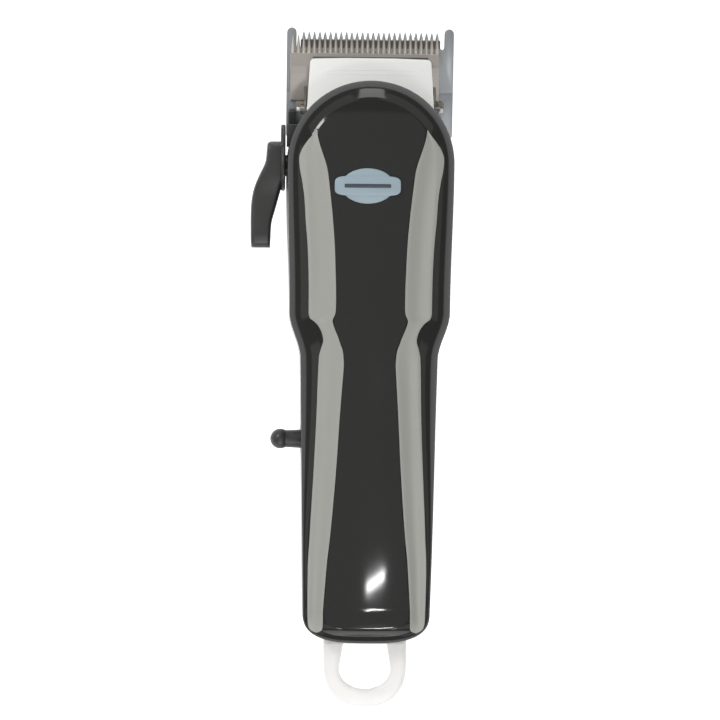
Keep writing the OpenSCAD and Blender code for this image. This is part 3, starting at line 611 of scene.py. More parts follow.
class Palette:
    """The clipper's finishes, each made once."""

    def __init__(self) -> None:
        """Starts with no materials made."""
        self.made: dict[str, bpy.types.Material] = {}

    def of(self, finish: Finish) -> bpy.types.Material:
        """The material for a finish."""
        if finish.name not in self.made:
            self.made[finish.name] = self._build(finish)
        return self.made[finish.name]

    def _build(self, finish: Finish) -> bpy.types.Material:
        """Builds one material.

        Args:
            finish: what it looks like.

        Returns:
            The material.
        """
        maker = Maker(finish.name)
        cells = {
            Grain.MOULDED: (900.0, 900.0, 900.0),
            Grain.LACQUERED: (2600.0, 2600.0, 2600.0),
            Grain.BRUSHED_ACROSS: (60.0, 5200.0, 5200.0),
            Grain.BRUSHED_ALONG: (5200.0, 60.0, 5200.0),
            Grain.ROUND_TURNED: (3000.0, 3000.0, 300.0),
            Grain.MILKY: (240.0, 240.0, 240.0),
        }[finish.grain]
        fine = maker.noise(cells)
        broad = maker.noise((46.0, 30.0, 46.0), detail=2.0)
        dark = tuple(c * (1 - finish.tone) for c in finish.colour)
        light = tuple(min(1.0, c * (1 + finish.tone)) for c in finish.colour)
        share = fine * 0.6 + broad * 0.4
        maker.feed(maker.shader.inputs["Base Color"], maker.blend(share, dark, light))
        rough = finish.roughness + (fine - 0.5) * finish.sheen_rough + (broad - 0.5) * finish.sheen_rough
        maker.feed(maker.shader.inputs["Roughness"], rough)
        if finish.relief > 0:
            maker.feed(maker.shader.inputs["Normal"], maker.relief(fine, finish.relief))
        maker.shader.inputs["Metallic"].default_value = finish.metal
        maker.shader.inputs["Specular IOR Level"].default_value = finish.shine
        maker.shader.inputs["Coat Weight"].default_value = finish.coat
        maker.shader.inputs["Coat Roughness"].default_value = 0.06
        if finish.clear > 0:
            maker.shader.inputs["Transmission Weight"].default_value = finish.clear
            maker.shader.inputs["IOR"].default_value = 1.47
        return maker.material


COVER_BLACK = Finish(
    "cover_black", (0.019, 0.019, 0.0182), 0.09, relief=0.0, tone=0.12, sheen_rough=0.04, shine=0.36
)
SHELL_SILVER = Finish("shell_silver", (0.46, 0.47, 0.475), 0.34, 0.55, Grain.LACQUERED, relief=0.002)
INLAY_SATIN = Finish("inlay_satin", (0.33, 0.33, 0.305), 0.52, 0.1, Grain.LACQUERED, relief=0.003)
BADGE_BLUE = Finish("badge_blue_grey", (0.29, 0.37, 0.42), 0.4, 0.0, Grain.LACQUERED, relief=0.002)
BADGE_DARK = Finish("badge_dark", (0.05, 0.06, 0.075), 0.3, 0.0, Grain.LACQUERED, relief=0.0)
NOSE_SILVER = Finish("nose_silver", (0.84, 0.84, 0.815), 0.45, 0.05, Grain.LACQUERED, relief=0.003)
LOOP_CLEAR = Finish(
    "loop_clear", (0.95, 0.94, 0.925), 0.3, 0.0, Grain.MILKY, tone=0.02, relief=0.006, clear=0.4
)
LEVER_BLACK = Finish("lever_black", (0.026, 0.026, 0.025), 0.42, relief=0.004, tone=0.1)
PART_BLACK = Finish("part_black", (0.016, 0.016, 0.017), 0.5, relief=0.01, tone=0.12)
BLADE_STEEL = Finish(
    "blade_steel", (0.31, 0.325, 0.335), 0.42, 0.8, Grain.BRUSHED_ALONG, tone=0.14, relief=0.002
)
# Painted shade: a dark brownish steel used only for thin sheets that paint shade. These are the shade under
# the cutter teeth on the fixed blade and the shadow of the gap ahead of the nose plate.
BLADE_PAINTED_SHADE = Finish(
    "blade_painted_shade", (0.085, 0.078, 0.068), 0.5, 0.4, Grain.BRUSHED_ALONG, tone=0.2, relief=0.002
)
CUTTER_STEEL = Finish(
    "cutter_steel", (0.37, 0.345, 0.315), 0.46, 0.7, Grain.BRUSHED_ACROSS, tone=0.18, relief=0.003
)
TOOTH_STEEL = Finish(
    "tooth_steel", (0.56, 0.525, 0.48), 0.42, 0.7, Grain.BRUSHED_ALONG, tone=0.1, relief=0.002
)
CARRIER_STEEL = Finish(
    "carrier_steel", (0.34, 0.36, 0.38), 0.42, 0.85, Grain.LACQUERED, tone=0.12, relief=0.004
)
GUIDE_BEIGE = Finish("guide_beige", (0.26, 0.23, 0.185), 0.5, 0.1, tone=0.08)
SPRING_STEEL = Finish("spring_steel", (0.22, 0.215, 0.2), 0.4, 1.0, Grain.LACQUERED)
SCREW_STEEL = Finish("screw_steel", (0.42, 0.43, 0.45), 0.33, 1.0, Grain.ROUND_TURNED, tone=0.12)
MOTOR_STEEL = Finish("motor_steel", (0.45, 0.47, 0.48), 0.35, 0.95, Grain.BRUSHED_ALONG, tone=0.1)
BRONZE = Finish("bronze", (0.42, 0.28, 0.12), 0.45, 0.9, Grain.LACQUERED, tone=0.12)
FERRITE = Finish("ferrite", (0.03, 0.03, 0.03), 0.7, 0.2, Grain.LACQUERED, tone=0.15)
WINDINGS = Finish("windings", (0.30, 0.12, 0.05), 0.4, 0.5, Grain.BRUSHED_ALONG, tone=0.3)
COPPER = Finish("copper", (0.50, 0.24, 0.13), 0.35, 0.95, Grain.LACQUERED)
ACETAL = Finish("acetal", (0.72, 0.70, 0.63), 0.42)
CELL_WRAP = Finish("cell_wrap", (0.03, 0.09, 0.24), 0.3, tone=0.08)
BOARD_GREEN = Finish("board_green", (0.01, 0.09, 0.035), 0.35, grain=Grain.LACQUERED, tone=0.2)
NICKEL = Finish("nickel", (0.60, 0.60, 0.58), 0.3, 1.0, Grain.LACQUERED)
LAMP_LENS = Finish("lamp_lens", (0.35, 0.65, 0.42), 0.25, clear=0.5)
WIRE_RED = Finish("wire_red", (0.25, 0.01, 0.01), 0.45)
WIRE_BLACK = Finish("wire_black", (0.01, 0.01, 0.01), 0.45)


def dressed(obj: bpy.types.Object, *materials: bpy.types.Material) -> bpy.types.Object:
    """Gives an object its materials in order."""
    obj.data.materials.clear()
    for one in materials:
        obj.data.materials.append(one)
    return obj


def entered(obj: bpy.types.Object, body: str, slot: str, *nodes: str) -> bpy.types.Object:
    """Enters a finished piece: parents it to the body it rides on and hides the CAD nodes it stands for."""
    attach(obj, body)
    if nodes:
        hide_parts(*nodes)
    log.info("%s: %d faces on %s", obj.name, len(obj.data.polygons), body)
    return obj


def corners(node: str) -> tuple[Triple, Triple]:
    """A CAD node's lowest and highest corner in millimetres."""
    low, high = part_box(node)
    return tuple(c / MM for c in low), tuple(c / MM for c in high)


# --- Shared plans ---------------------------------------------------------------


@dataclass
class BodyPlan:
    """The outline and the heights of the housing, in millimetres."""

    rear: float
    tip: float
    head_r: float
    shoulder_half: float = 22.2
    waist_half: float = 19.0
    tail_half: float = 17.5
    head_len: float = 64.0
    flare: float = 13.0
    corner: float = 9.0
    corner_power: float = 2.8
    split: float = 17.0
    rim: float = 0.35
    wall: float = 2.0
    head_high: float = 38.0
    waist_high: float = 34.0
    tail_high: float = 30.0
    swell_end: float = 20.0
    swell_len: float = 46.0
    crown_rise: float = 2.2
    crown_power: float = 2.0
    tail_round: float = 2.6
    tail_len: float = 32.0
    nose_drop: float = 1.0
    rear_bend: float = 0.3
    band_tail: float = 1.3
    band_rear: float = 0.7
    band_mid: float = 5.8
    band_tip: float = 5.1
    band_from: float = 36.0
    band_turn: float = 62.0

    @property
    def head_y(self) -> float:
        """Where the head's round begins."""
        return self.tip - self.head_r

    def half_width(self, y: float) -> float:
        """Half the width of the housing at a place along it."""
        shoulder = self.tip - self.head_len
        waist = shoulder - self.flare
        if y < waist:
            return mix(self.tail_half, self.waist_half, (y - self.rear) / (waist - self.rear))
        if y < shoulder:
            return mix(self.waist_half, self.shoulder_half, smooth((y - waist) / self.flare))
        return mix(self.shoulder_half, self.head_r, smooth((y - shoulder) / (self.head_y - shoulder)))

    def outline(self) -> list[tuple[Pair, Pair]]:
        """Points round the housing with their inward directions, anticlockwise from the rear."""
        shoulder = self.tip - self.head_len
        waist = shoulder - self.flare
        start = self.rear + self.corner
        half: list[Pair] = []
        for i in range(25):
            a = math.radians(90 * i / 24)
            half.append((
                self.half_width(start) * math.sin(a) ** (2 / self.corner_power),
                start - self.corner * max(math.cos(a), 0.0) ** (2 / self.corner_power),
            ))
        half += [(self.half_width(y), y) for y in steps(start, waist, 49)[1:]]
        half += [(self.half_width(y), y) for y in steps(waist, shoulder, 21)[1:]]
        half += [(self.half_width(y), y) for y in steps(shoulder, self.head_y, 25)[1:]]
        for i in range(1, 41):
            a = math.radians(90 * i / 40)
            half.append((self.head_r * math.cos(a), self.head_y + self.head_r * math.sin(a)))
        half[-1] = (0.0, self.tip)
        whole = half + [(-x, y) for x, y in reversed(half[1:-1])]
        count = len(whole)
        result = []
        for i, p in enumerate(whole):
            ahead, behind = whole[(i + 1) % count], whole[i - 1]
            run = Vector((ahead[0] - behind[0], ahead[1] - behind[1])).normalized()
            result.append((p, (-run.y, run.x)))
        return result

    def corner_share(self, y: float) -> float:
        """How far a place lies into the round of the rear corners, from 0 to 1."""
        return max(0.0, self.rear + self.corner - y) / self.corner

    def rim_at(self, y: float) -> float:
        """How far the lower shell stands out past the cover: most round the head."""
        return mix(0.08, self.rim, smooth((y - 20) / 22))

    def band(self, y: float) -> float:
        """Width of the sloping band between the cover's edge and its crease."""
        if y < 0:
            rear = self.band_rear * self.corner_share(y) ** 2
            return mix(self.band_tail, self.band_mid, smooth((y - self.rear - 20) / 58)) + rear
        return mix(self.band_mid, self.band_tip, smooth((y - self.tip + 53) / 38))

    def crown(self, y: float) -> float:
        """Height of the crown on the middle line."""
        start = self.swell_end - self.swell_len
        back = mix(self.tail_high, self.waist_high, clamp((y - self.rear) / (start - self.rear), 0, 1))
        rounded = self.tail_round * (max(0.0, self.rear + self.tail_len - y) / self.tail_len) ** 2
        return mix(back, self.head_high, smooth((y - start) / self.swell_len)) - rounded

    def crease(self, y: float) -> float:
        """Height of the crease."""
        nose = self.nose_drop * (max(0.0, y - self.head_y) / self.head_r) ** 2
        return self.crown(y) - self.crown_rise * (1 - 0.5 * self.corner_share(y)) - nose

    def climb(self, y: float, share: float) -> float:
        """How much of its rise the crown has made at a share of the way in from the crease."""
        side = 1 - (1 - share) ** self.crown_power
        rear = 1 - max(0.0, 1 - share / self.rear_bend) ** 1.3
        return mix(side, rear, self.corner_share(y))

    def spine(self, y: float) -> float:
        """The place on the middle line that a point of the edge looks at."""
        return clamp(y, self.rear + self.corner, self.head_y)


@dataclass
class BladePlan:
    """The tilted frame of the blades: x across, u along and w up from the skin side."""

    tilt: float
    ramp_y: float
    blade_t: float = 2.5

    @classmethod
    def from_frame(cls) -> "BladePlan":
        """Reads the tilt and the place from the CAD model."""
        joint = next(j for j in frame["joints"] if j["name"] == "blade_gap")
        axis = joint["axis"]
        tilt = math.atan2(axis[2], axis[1])
        low, _ = corners("fixed_blade")
        return cls(tilt, low[1] - low[2] / math.tan(tilt))

    def matrix(self) -> Matrix:
        """The place of the blade frame in the body."""
        return Matrix.Translation((0, self.ramp_y, 0)) @ Matrix.Rotation(self.tilt, 4, "X")

    def u(self, y: float, w: float | None = None) -> float:
        """The place along the blade of a Y at a height over the skin side."""
        level = self.blade_t if w is None else w
        return (y - self.ramp_y + level * math.sin(self.tilt)) / math.cos(self.tilt)

    def z(self, y: float, w: float) -> float:
        """The height in the body of a plane over the skin side."""
        return (y - self.ramp_y) * math.tan(self.tilt) + w / math.cos(self.tilt)


# --- Housing --------------------------------------------------------------------


@dataclass
class Inlays:
    """The two satin strips in the crown: each a shallow half-round channel with eased edges."""

    plan: BodyPlan
    deep: float = 0.85
    scoop: float = 0.75
    proud: float = 0.08
    outer: tuple[Pair, ...] = (
        (-74.9, 14.0), (-74.2, 15.4), (-72.8, 16.1), (-70, 16.3), (-62, 16.4), (-55, 16.35),
        (-48.4, 16.0), (-41.7, 15.7), (-28, 15.0), (-14.8, 14.45), (-5, 14.2), (-1.6, 14.1), (0.4, 14.0),
        (2, 13.9), (4, 13.4), (6, 12.85), (8.3, 13.3), (10, 14.2), (11.2, 15.3), (12, 16.4), (13.3, 16.9),
        (15.4, 16.95), (22, 17.0), (32, 17.4), (39, 18.0), (45.6, 18.45), (50, 19.1), (53.4, 19.75),
        (56.5, 19.9), (58.6, 19.2), (60.6, 17.9), (62.5, 16.4), (64.1, 15.3),
    )
    inner: tuple[Pair, ...] = (
        (-74.9, 13.6), (-74.3, 12.4), (-72.6, 12.1), (-68.6, 12.05), (-61.9, 11.6), (-55, 11.1),
        (-48.4, 10.4), (-41.7, 9.8), (-28, 8.8), (-14.8, 8.05), (-6, 7.45), (-1.4, 7.15), (0.4, 7.15),
        (3.4, 7.5), (5, 8.1), (6.9, 8.75), (8.3, 9.35), (10, 10.0), (11.2, 10.35), (12, 10.25),
        (13.2, 9.7), (14.5, 9.5), (20, 9.5), (26, 9.7), (32, 9.95), (39, 10.5), (45.6, 11.2),
        (52.4, 12.05), (55, 12.7), (59.4, 14.2), (62.2, 14.95), (64.1, 15.2),
    )
    scoops: tuple[Pair, ...] = (
        (-74.9, 0.0), (-73.5, 0.5), (-70, 1.0), (-30, 1.0), (-6, 1.0), (0, 0.8), (4, 0.35), (8, 0.2),
        (10.6, 0.25), (11.6, 0.6), (12.6, 0.95), (14, 1.0), (50, 1.0), (57, 0.8), (61, 0.35), (64.1, 0.0),
    )

    def grid(
        self, side: int, tree: BVHTree, lift: Callable[[float, float], float], grow: float
    ) -> list[list[Triple]]:
        """A grid of points over one strip.

        Args:
            side: -1 for the left one, 1 for the right one.
            tree: the cover's uncut skin.
            lift: height over that skin, from the place along and the share across.
            grow: how far the outline is moved outwards.

        Returns:
            Rows of points along the strip.
        """
        outer, inner = curve_through(self.outer), curve_through(self.inner)
        places = steps(self.outer[0][0] - grow, self.outer[-1][0] + grow, 300)
        shares = [0.5 - 0.5 * math.cos(math.pi * t) for t in steps(0, 1, 25)]
        rows = []
        for y in places:
            a, b = outer(y) + grow, inner(y) - grow
            row = []
            for share in shares:
                x = side * mix(a, b, share)
                hit = tree.ray_cast(Vector((x, y, 100.0)), Vector((0, 0, -1)))[0]
                row.append((x, y, hit.z + lift(y, share)))
            rows.append(row)
        return rows

    def pocket(self, side: int, tree: BVHTree) -> Solid:
        """The room that a strip takes out of the cover."""
        top = self.grid(side, tree, lambda y, s: 3.0, 0.03)
        under = self.grid(side, tree, lambda y, s: -self.deep, 0.03)
        return Solid().sheet(top, under)

    def strip(self, side: int, tree: BVHTree) -> Solid:
        """One strip: a channel that fades out at its ends and at the neck."""
        depth = curve_through(self.scoops)

        def surface(y: float, share: float) -> float:
            """Height over the crown: a proud edge, then the half-round."""
            edge = min(share, 1 - share)
            if edge <= 0:
                return 0.0
            bowl = math.sin(math.pi * clamp((edge - 0.06) / 0.88, 0, 0.5))
            return self.proud - self.scoop * depth(y) * bowl**1.3

        top = self.grid(side, tree, surface, 0.0)
        under = self.grid(side, tree, lambda y, s: -self.deep + 0.03, 0.0)
        return Solid().sheet(top, under)


@dataclass
class Housing:
    """The cover, the lower shell and what is fixed on them."""

    plan: BodyPlan
    blades: BladePlan
    palette: Palette
    repeat: Repeat
    nose_half: float = 17.75
    nose_seat: float = 5.0
    nose_slope: float = 14.0
    # Half the width of the dark strip that paints the shadow ahead of the nose plate.
    shadow_strip_half: float = 16.2
    bore_radius: float = 3.05
    bore_start: float = -17.5
    toggle_half: Pair = (3.85, 3.1)
    loop_half: float = 11.8
    badge_shift: Pair = (-1.1, -1.0)
    plate_radii: Pair = (7.25, 4.85)
    banner_radii: Pair = (9.05, 2.75)
    rule_radii: Pair = (6.4, 0.55)

    def cover_rings(self, grow: float, foot: float, dense: bool) -> list[list[Triple]]:
        """Rings of the cover's skin from its foot to the spine.

        Args:
            grow: how far the skin is moved outwards; negative for the inside.
            foot: height of the lowest ring.
            dense: whether the skin is the fine outer one.

        Returns:
            The rings.
        """
        plan = self.plan
        edge = plan.outline()
        turns = steps(plan.band_from, plan.band_turn, 13 if dense else 6)
        shares = steps(0, 1, 22 if dense else 7)[1:]
        start_in = math.cos(math.radians(plan.band_from))
        full_in = start_in - math.cos(math.radians(plan.band_turn))
        full_up = math.sin(math.radians(plan.band_turn))
        rings = [[(p[0] - n[0] * grow, p[1] - n[1] * grow, foot) for p, n in edge]]
        for turn in turns:
            a = math.radians(turn)
            inset = (start_in - math.cos(a)) / full_in
            down = (full_up - math.sin(a)) / full_in
            ring = []
            for p, n in edge:
                d = inset * plan.band(p[1]) - grow * (1 - 0.2 * turn / plan.band_turn)
                ring.append(
                    (p[0] + n[0] * d, p[1] + n[1] * d, plan.crease(p[1]) + grow - down * plan.band(p[1]))
                )
            rings.append(ring)
        crease = rings[-1]
        for s in shares:
            ring = []
            for x, y, z in crease:
                centre = plan.spine(y)
                high = mix(z, plan.crown(centre) + grow, plan.climb(y, s))
                ring.append((mix(x, 0, s), mix(y, centre, s), high))
            rings.append(ring)
        return rings

    def cover_skin(self) -> BVHTree:
        """The cover's uncut outer skin, for what lies on it."""
        solid = Solid().rows(self.cover_rings(0.0, self.plan.split, True), ends=False)
        return BVHTree.FromPolygons([Vector(p) for p in solid.points], solid.faces)

    def side_openings(self) -> list[Solid]:
        """The holes that both shells share: the lever's bore, the toggle's slot and the loop's slot."""
        low, high = corners("switch_toggle")
        lever = next(j for j in frame["joints"] if j["name"] == "taper_lever_swing")["pos_m"]
        toggle_y, toggle_z = (low[1] + high[1]) / 2, (low[2] + high[2]) / 2
        loop_low, loop_high = corners("hanging_loop")
        radius = self.bore_radius
        bore = Solid().turned([(0, -12), (radius, -12), (radius, 0), (0, 0)], 40)
        bore.moved(
            Matrix.Translation((self.bore_start, lever[1] / MM, lever[2] / MM))
            @ Matrix.Rotation(math.radians(90), 4, "Y")
        )
        along, up = self.toggle_half
        slot = Solid().block((-30, toggle_y - along, toggle_z - up), (-15.3, toggle_y + along, toggle_z + up))
        half = self.loop_half
        loop = Solid().block(
            (-half, -100, loop_low[2] - 0.03), (half, self.plan.rear + 4.0, loop_high[2] + 0.03)
        )
        return [bore, slot, loop]

    def nose_room(self) -> Solid:
        """The room that the nose plate takes out of both shells."""
        low, high = corners("nose_plate")
        half = self.nose_half
        front, back = high[1] + 1, low[1] - 0.1
        side = [
            (back, self.blades.z(low[1], self.nose_seat)), (front, self.blades.z(front, self.nose_seat)),
            (front, high[2] - (front - low[1]) * math.tan(math.radians(self.nose_slope))),
            (back, high[2] + 0.06),
        ]
        return Solid().rows([[(-half, y, z) for y, z in side], [(half, y, z) for y, z in side]])

    def build_cover(self) -> bpy.types.Object:
        """The glossy cover, hollow, with pockets for the strips and room for the nose plate."""
        plan = self.plan
        skin = Solid().rows(self.cover_rings(0.0, plan.split, True), ends=False)
        inside = Solid().rows(self.cover_rings(-plan.wall, plan.split, False), ends=False)
        outer_ring = list(range(len(plan.outline())))
        base = len(skin.points)
        skin.joined(inside)
        for i in outer_ring:
            j = (i + 1) % len(outer_ring)
            skin.faces.append((j, i, base + i, base + j))
        obj = skin.made("cover")
        tree = self.cover_skin()
        strips = Inlays(plan)
        cut(obj, self.nose_room(), strips.pocket(-1, tree), strips.pocket(1, tree), *self.side_openings())
        eased(obj, 0.35, 3, 24)
        dressed(obj, self.palette.of(COVER_BLACK))
        return entered(obj, "housing", "cover_black", "top_cover")

    def build_inlays(self) -> None:
        """Both satin strips."""
        tree = self.cover_skin()
        strips = Inlays(self.plan)
        for side, name in ((-1, "left_inlay"), (1, "right_inlay")):
            obj = strips.strip(side, tree).made(name + "_satin")
            shaded(obj, 50)
            dressed(obj, self.palette.of(INLAY_SATIN))
            entered(obj, "housing", "inlay_silver", name)

    def build_badge(self) -> bpy.types.Object:
        """A plain oval badge with a banner and a bar across it, let into the crown."""
        low, high = corners("badge")
        cx, cy = self.badge_shift[0], (low[1] + high[1]) / 2 + self.badge_shift[1]
        top = high[2] - 0.12

        def oval(rx: float, ry: float, shape: float) -> list[Pair]:
            """Points round an oval."""
            turns = [2 * math.pi * i / 96 for i in range(96)]
            return [(cx + rx * power(math.cos(a), shape), cy + ry * power(math.sin(a), shape)) for a in turns]

        plate = Solid().prism(oval(*self.plate_radii, 1.0), low[2] + 0.1, top - 0.22).made("badge_plate")
        eased(plate, 0.18, 2)
        banner = Solid().prism(oval(*self.banner_radii, 0.42), low[2] + 0.1, top - 0.05).made("badge_banner")
        eased(banner, 0.18, 2)
        rule = Solid().prism(oval(*self.rule_radii, 0.12), top - 0.2, top + 0.03).made("badge_rule")
        eased(rule, 0.1, 2)
        dressed(plate, self.palette.of(BADGE_BLUE))
        dressed(banner, self.palette.of(BADGE_BLUE))
        dressed(rule, self.palette.of(BADGE_DARK))
        obj = join_pieces("badge_oval", [plate, banner, rule])
        return entered(obj, "housing", "badge_blue_grey", "badge")

    def build_lower_shell(self) -> bpy.types.Object:
        """The silver lower shell: a round-edged tray, cut by the ramp and the bays."""
        plan, blades = self.plan, self.blades
        edge = plan.outline()
        foot_in, foot_up = 3.2, 3.6
        bed, floor = 2.42, 4.42

        def ring(out: float, height: float) -> list[Triple]:
            """The rim moved outwards, at a height."""
            moved = [out + plan.rim_at(p[1]) for p, _ in edge]
            return [(p[0] - n[0] * d, p[1] - n[1] * d, height) for (p, n), d in zip(edge, moved)]

        outer = []
        for i in range(11):
            a = math.radians(90 * i / 10)
            outer.append(ring(-foot_in * (1 - math.sin(a)), foot_up * (1 - math.cos(a))))
        outer += [ring(0.0, z) for z in (8.0, 12.0, plan.split - 0.25)]
        outer += [ring(-0.05, plan.split - 0.06), ring(-0.2, plan.split - 0.01)]
        inner = []
        for out, height in (
            (-plan.wall, plan.split - 0.01), (-plan.wall, 8.0), (-plan.wall, 4.5), (-plan.wall - 2, 2.3),
            (-plan.wall - 5, 2.0)
        ):
            inner.append(
                [(x, y, max(height, min(blades.z(y, floor), plan.split - 1.0))) for x, y, _ in ring(out, 0)]
            )
        spine = []
        for s in (0.5, 1.0):
            spine.append([
                (
                    mix(x, 0, s), mix(y, plan.spine(y), s),
                    max(2.0, min(blades.z(mix(y, plan.spine(y), s), floor), plan.split - 1))
                )
                for x, y, _ in inner[-1]
            ])
        base = [
            [(mix(x, 0, s), mix(y, plan.spine(y), s), 0.0) for x, y, _ in outer[0]] for s in (1.0, 0.5)
        ]
        obj = Solid().rows([*base, *outer, *inner, *spine], ends=False).made("lower_shell_silver")
        frame_at = blades.matrix()
        far = 120.0
        under = Solid().block((-far, -far, -far), (far, far, bed)).moved(frame_at)
        bay_u = blades.u(plan.tip - 6.1)
        bay = Solid().block((-far, bay_u, 0), (far, far, 20)).moved(frame_at)
        tools = [under, bay, self.nose_room(), *self.side_openings()]
        for x in (-1, 1):
            for place in ((11.0, plan.rear + 12), (11.5, plan.tip - 70)):
                hole = Solid().turned([(0, -1), (2.6, -1), (2.6, 6.0), (0, 6.0)], 40)
                tools.append(hole.moved(Matrix.Translation((x * place[0], place[1], 0))))
        for node, radius in (("charging_socket", 3.4), ("charge_light", 1.3)):
            a, b = corners(node)
            hole = Solid().turned([(0, 0), (radius, 0), (radius, 12), (0, 12)], 40)
            turn = Matrix.Rotation(math.radians(-90), 4, "X")
            tools.append(
                hole.moved(Matrix.Translation(((a[0] + b[0]) / 2, plan.rear - 6, (a[2] + b[2]) / 2)) @ turn)
            )
        cut(obj, *tools)
        shaded(obj, 38)
        dressed(obj, self.palette.of(SHELL_SILVER))
        return entered(obj, "housing", "shell_silver", "lower_shell")

    def build_nose(self) -> bpy.types.Object:
        """The nose plate with rounded edges, two fine raised lines and a dark strip along its front that
        paints the shadow of the gap there.
        """
        obj = eased(copied("nose_plate"), 0.4, 3, 25)
        obj.name = "nose_plate_eased"
        low, high = corners("nose_plate")
        slope = math.radians(-14)
        lines = []
        for y in (high[1] - 3.4, high[1] - 4.6):
            z = high[2] - (y - low[1]) * math.tan(math.radians(14)) - 0.05
            bar = Solid().block((-12.5, -0.14, -0.1), (12.5, 0.14, 0.1))
            bar.moved(Matrix.Translation((0, y, z)) @ Matrix.Rotation(slope, 4, "X"))
            lines.append(eased(bar.made("nose_line"), 0.08, 2))
        for one in (obj, *lines):
            dressed(one, self.palette.of(NOSE_SILVER))
        # A dark strip along the nose plate's front is painted shadow. It stands for the shadow in the gap
        # between the plate and the cutter.
        foot = self.blades.z(high[1], self.nose_seat)
        half = self.shadow_strip_half
        shadow_strip = Solid().block((-half, high[1] - 0.6, foot + 0.1), (half, high[1] + 0.4, foot + 1.3))
        shadow_strip = shadow_strip.made("nose_seal")
        lines.append(dressed(eased(shadow_strip, 0.1, 2), self.palette.of(BLADE_PAINTED_SHADE)))
        obj = join_pieces("nose_plate_satin", [obj, *lines])
        return entered(obj, "housing", "nose_silver", "nose_plate")

    def build_loop(self) -> bpy.types.Object:
        """The clear hanging loop: a soft oval band with a flange inside the shells."""
        low, high = corners("hanging_loop")
        rear = self.plan.rear
        half_t = (high[2] - low[2]) / 2
        z = (high[2] + low[2]) / 2
        out_half, in_half = 11.7, 7.1
        end, hole_end, hole_start = low[1], low[1] + 5.0, rear - 1.2
        reach = 13.0
        rings = []
        root = rear + 5.0
        turns = steps(-90, 90, 81)
        for y in steps(root, rear - 0.8, 6)[:-1]:
            rings.append(((-out_half, y), (-in_half + 1.2, y)))
        for a in turns:
            t = math.radians(a)
            outer = (out_half * power(math.sin(t), 0.8), end + reach - reach * abs(math.cos(t)) ** 0.8)
            mid, deep = (hole_end + hole_start) / 2, (hole_start - hole_end) / 2
            inner = (in_half * math.sin(t) * (1 + 0.08 * math.cos(t)), mid - deep * math.cos(t))
            rings.append((outer, inner))
        for y in steps(rear - 0.8, root, 6)[1:]:
            rings.append(((out_half, y), (in_half - 1.2, y)))
        solid_rings = []
        for outer, inner in rings:
            cx, cy = (outer[0] + inner[0]) / 2, (outer[1] + inner[1]) / 2
            hx, hy = (outer[0] - inner[0]) / 2, (outer[1] - inner[1]) / 2
            ring = []
            for i in range(28):
                a = 2 * math.pi * i / 28
                across, up = power(math.cos(a), 0.7), power(math.sin(a), 0.7)
                ring.append((cx + hx * across, cy + hy * across, z + half_t * up))
            solid_rings.append(ring)
        obj = Solid().rows(solid_rings).made("hanging_loop_clear")
        shaded(obj, 60)
        web = Solid().block(
            (-out_half + 1, rear - 0.6, z - half_t + 0.25), (out_half - 1, root, z + half_t - 0.25)
        )
        flange = Solid().block((-13.2, rear + 4.5, z - half_t + 0.05), (13.2, rear + 6.9, z + half_t - 0.05))
        parts = [obj, eased(web.made("loop_web"), 0.3, 2), eased(flange.made("loop_flange"), 0.2, 2)]
        for one in parts:
            dressed(one, self.palette.of(LOOP_CLEAR))
        obj = join_pieces("hanging_loop_clear", parts)
        return entered(obj, "housing", "loop_clear", "hanging_loop")

    def build_screws(self) -> bpy.types.Object:
        """The four housing screws: pan heads with a cross recess, seen from under the shell."""
        low, _ = corners("housing_screws")
        head = Solid().turned(
            [
                (0, 0.5), (1.5, 0.5), (2.1, 0.62), (2.42, 0.95), (2.5, 1.3), (2.5, 1.85), (1.1, 1.9),
                (1.1, 19), (0, 19.2)
            ],
            36
        )
        unit = head.made("screw_unit")
        cross = Solid().block((-1.5, -0.3, 0), (1.5, 0.3, 1.3))
        other = Solid().block((-0.3, -1.5, 0), (0.3, 1.5, 1.3))
        cut(unit, cross, other)
        shaded(unit, 30)
        sites = [
            (side * x, y, low[2] - 0.5)
            for side in (-1, 1)
            for x, y in ((11.0, self.plan.rear + 12), (11.5, self.plan.tip - 70))
        ]
        obj = self.repeat.along("housing_screw_set", sites, unit, self.palette.of(SCREW_STEEL))
        return entered(obj, "housing", "screw_steel", "housing_screws")


def join_pieces(name: str, pieces: Sequence[bpy.types.Object]) -> bpy.types.Object:
    """Joins pieces into one mesh and keeps their materials."""
    materials: list[bpy.types.Material] = []
    grid = bmesh.new()
    for one in pieces:
        start = len(grid.faces)
        grid.from_mesh(one.data)
        grid.faces.ensure_lookup_table()
        slots = []
        for slot in one.data.materials:
            if slot not in materials:
                materials.append(slot)
            slots.append(materials.index(slot))
        for face in grid.faces[start:]:
            face.material_index = slots[face.material_index] if slots else 0
    mesh = bpy.data.meshes.new(name)
    grid.to_mesh(mesh)
    grid.free()
    for one in pieces:
        bpy.data.objects.remove(one)
    for material in materials:
        mesh.materials.append(material)
    obj = bpy.data.objects.new(name, mesh)
    bpy.context.scene.collection.objects.link(obj)
    return obj


# --- Blades ---------------------------------------------------------------------


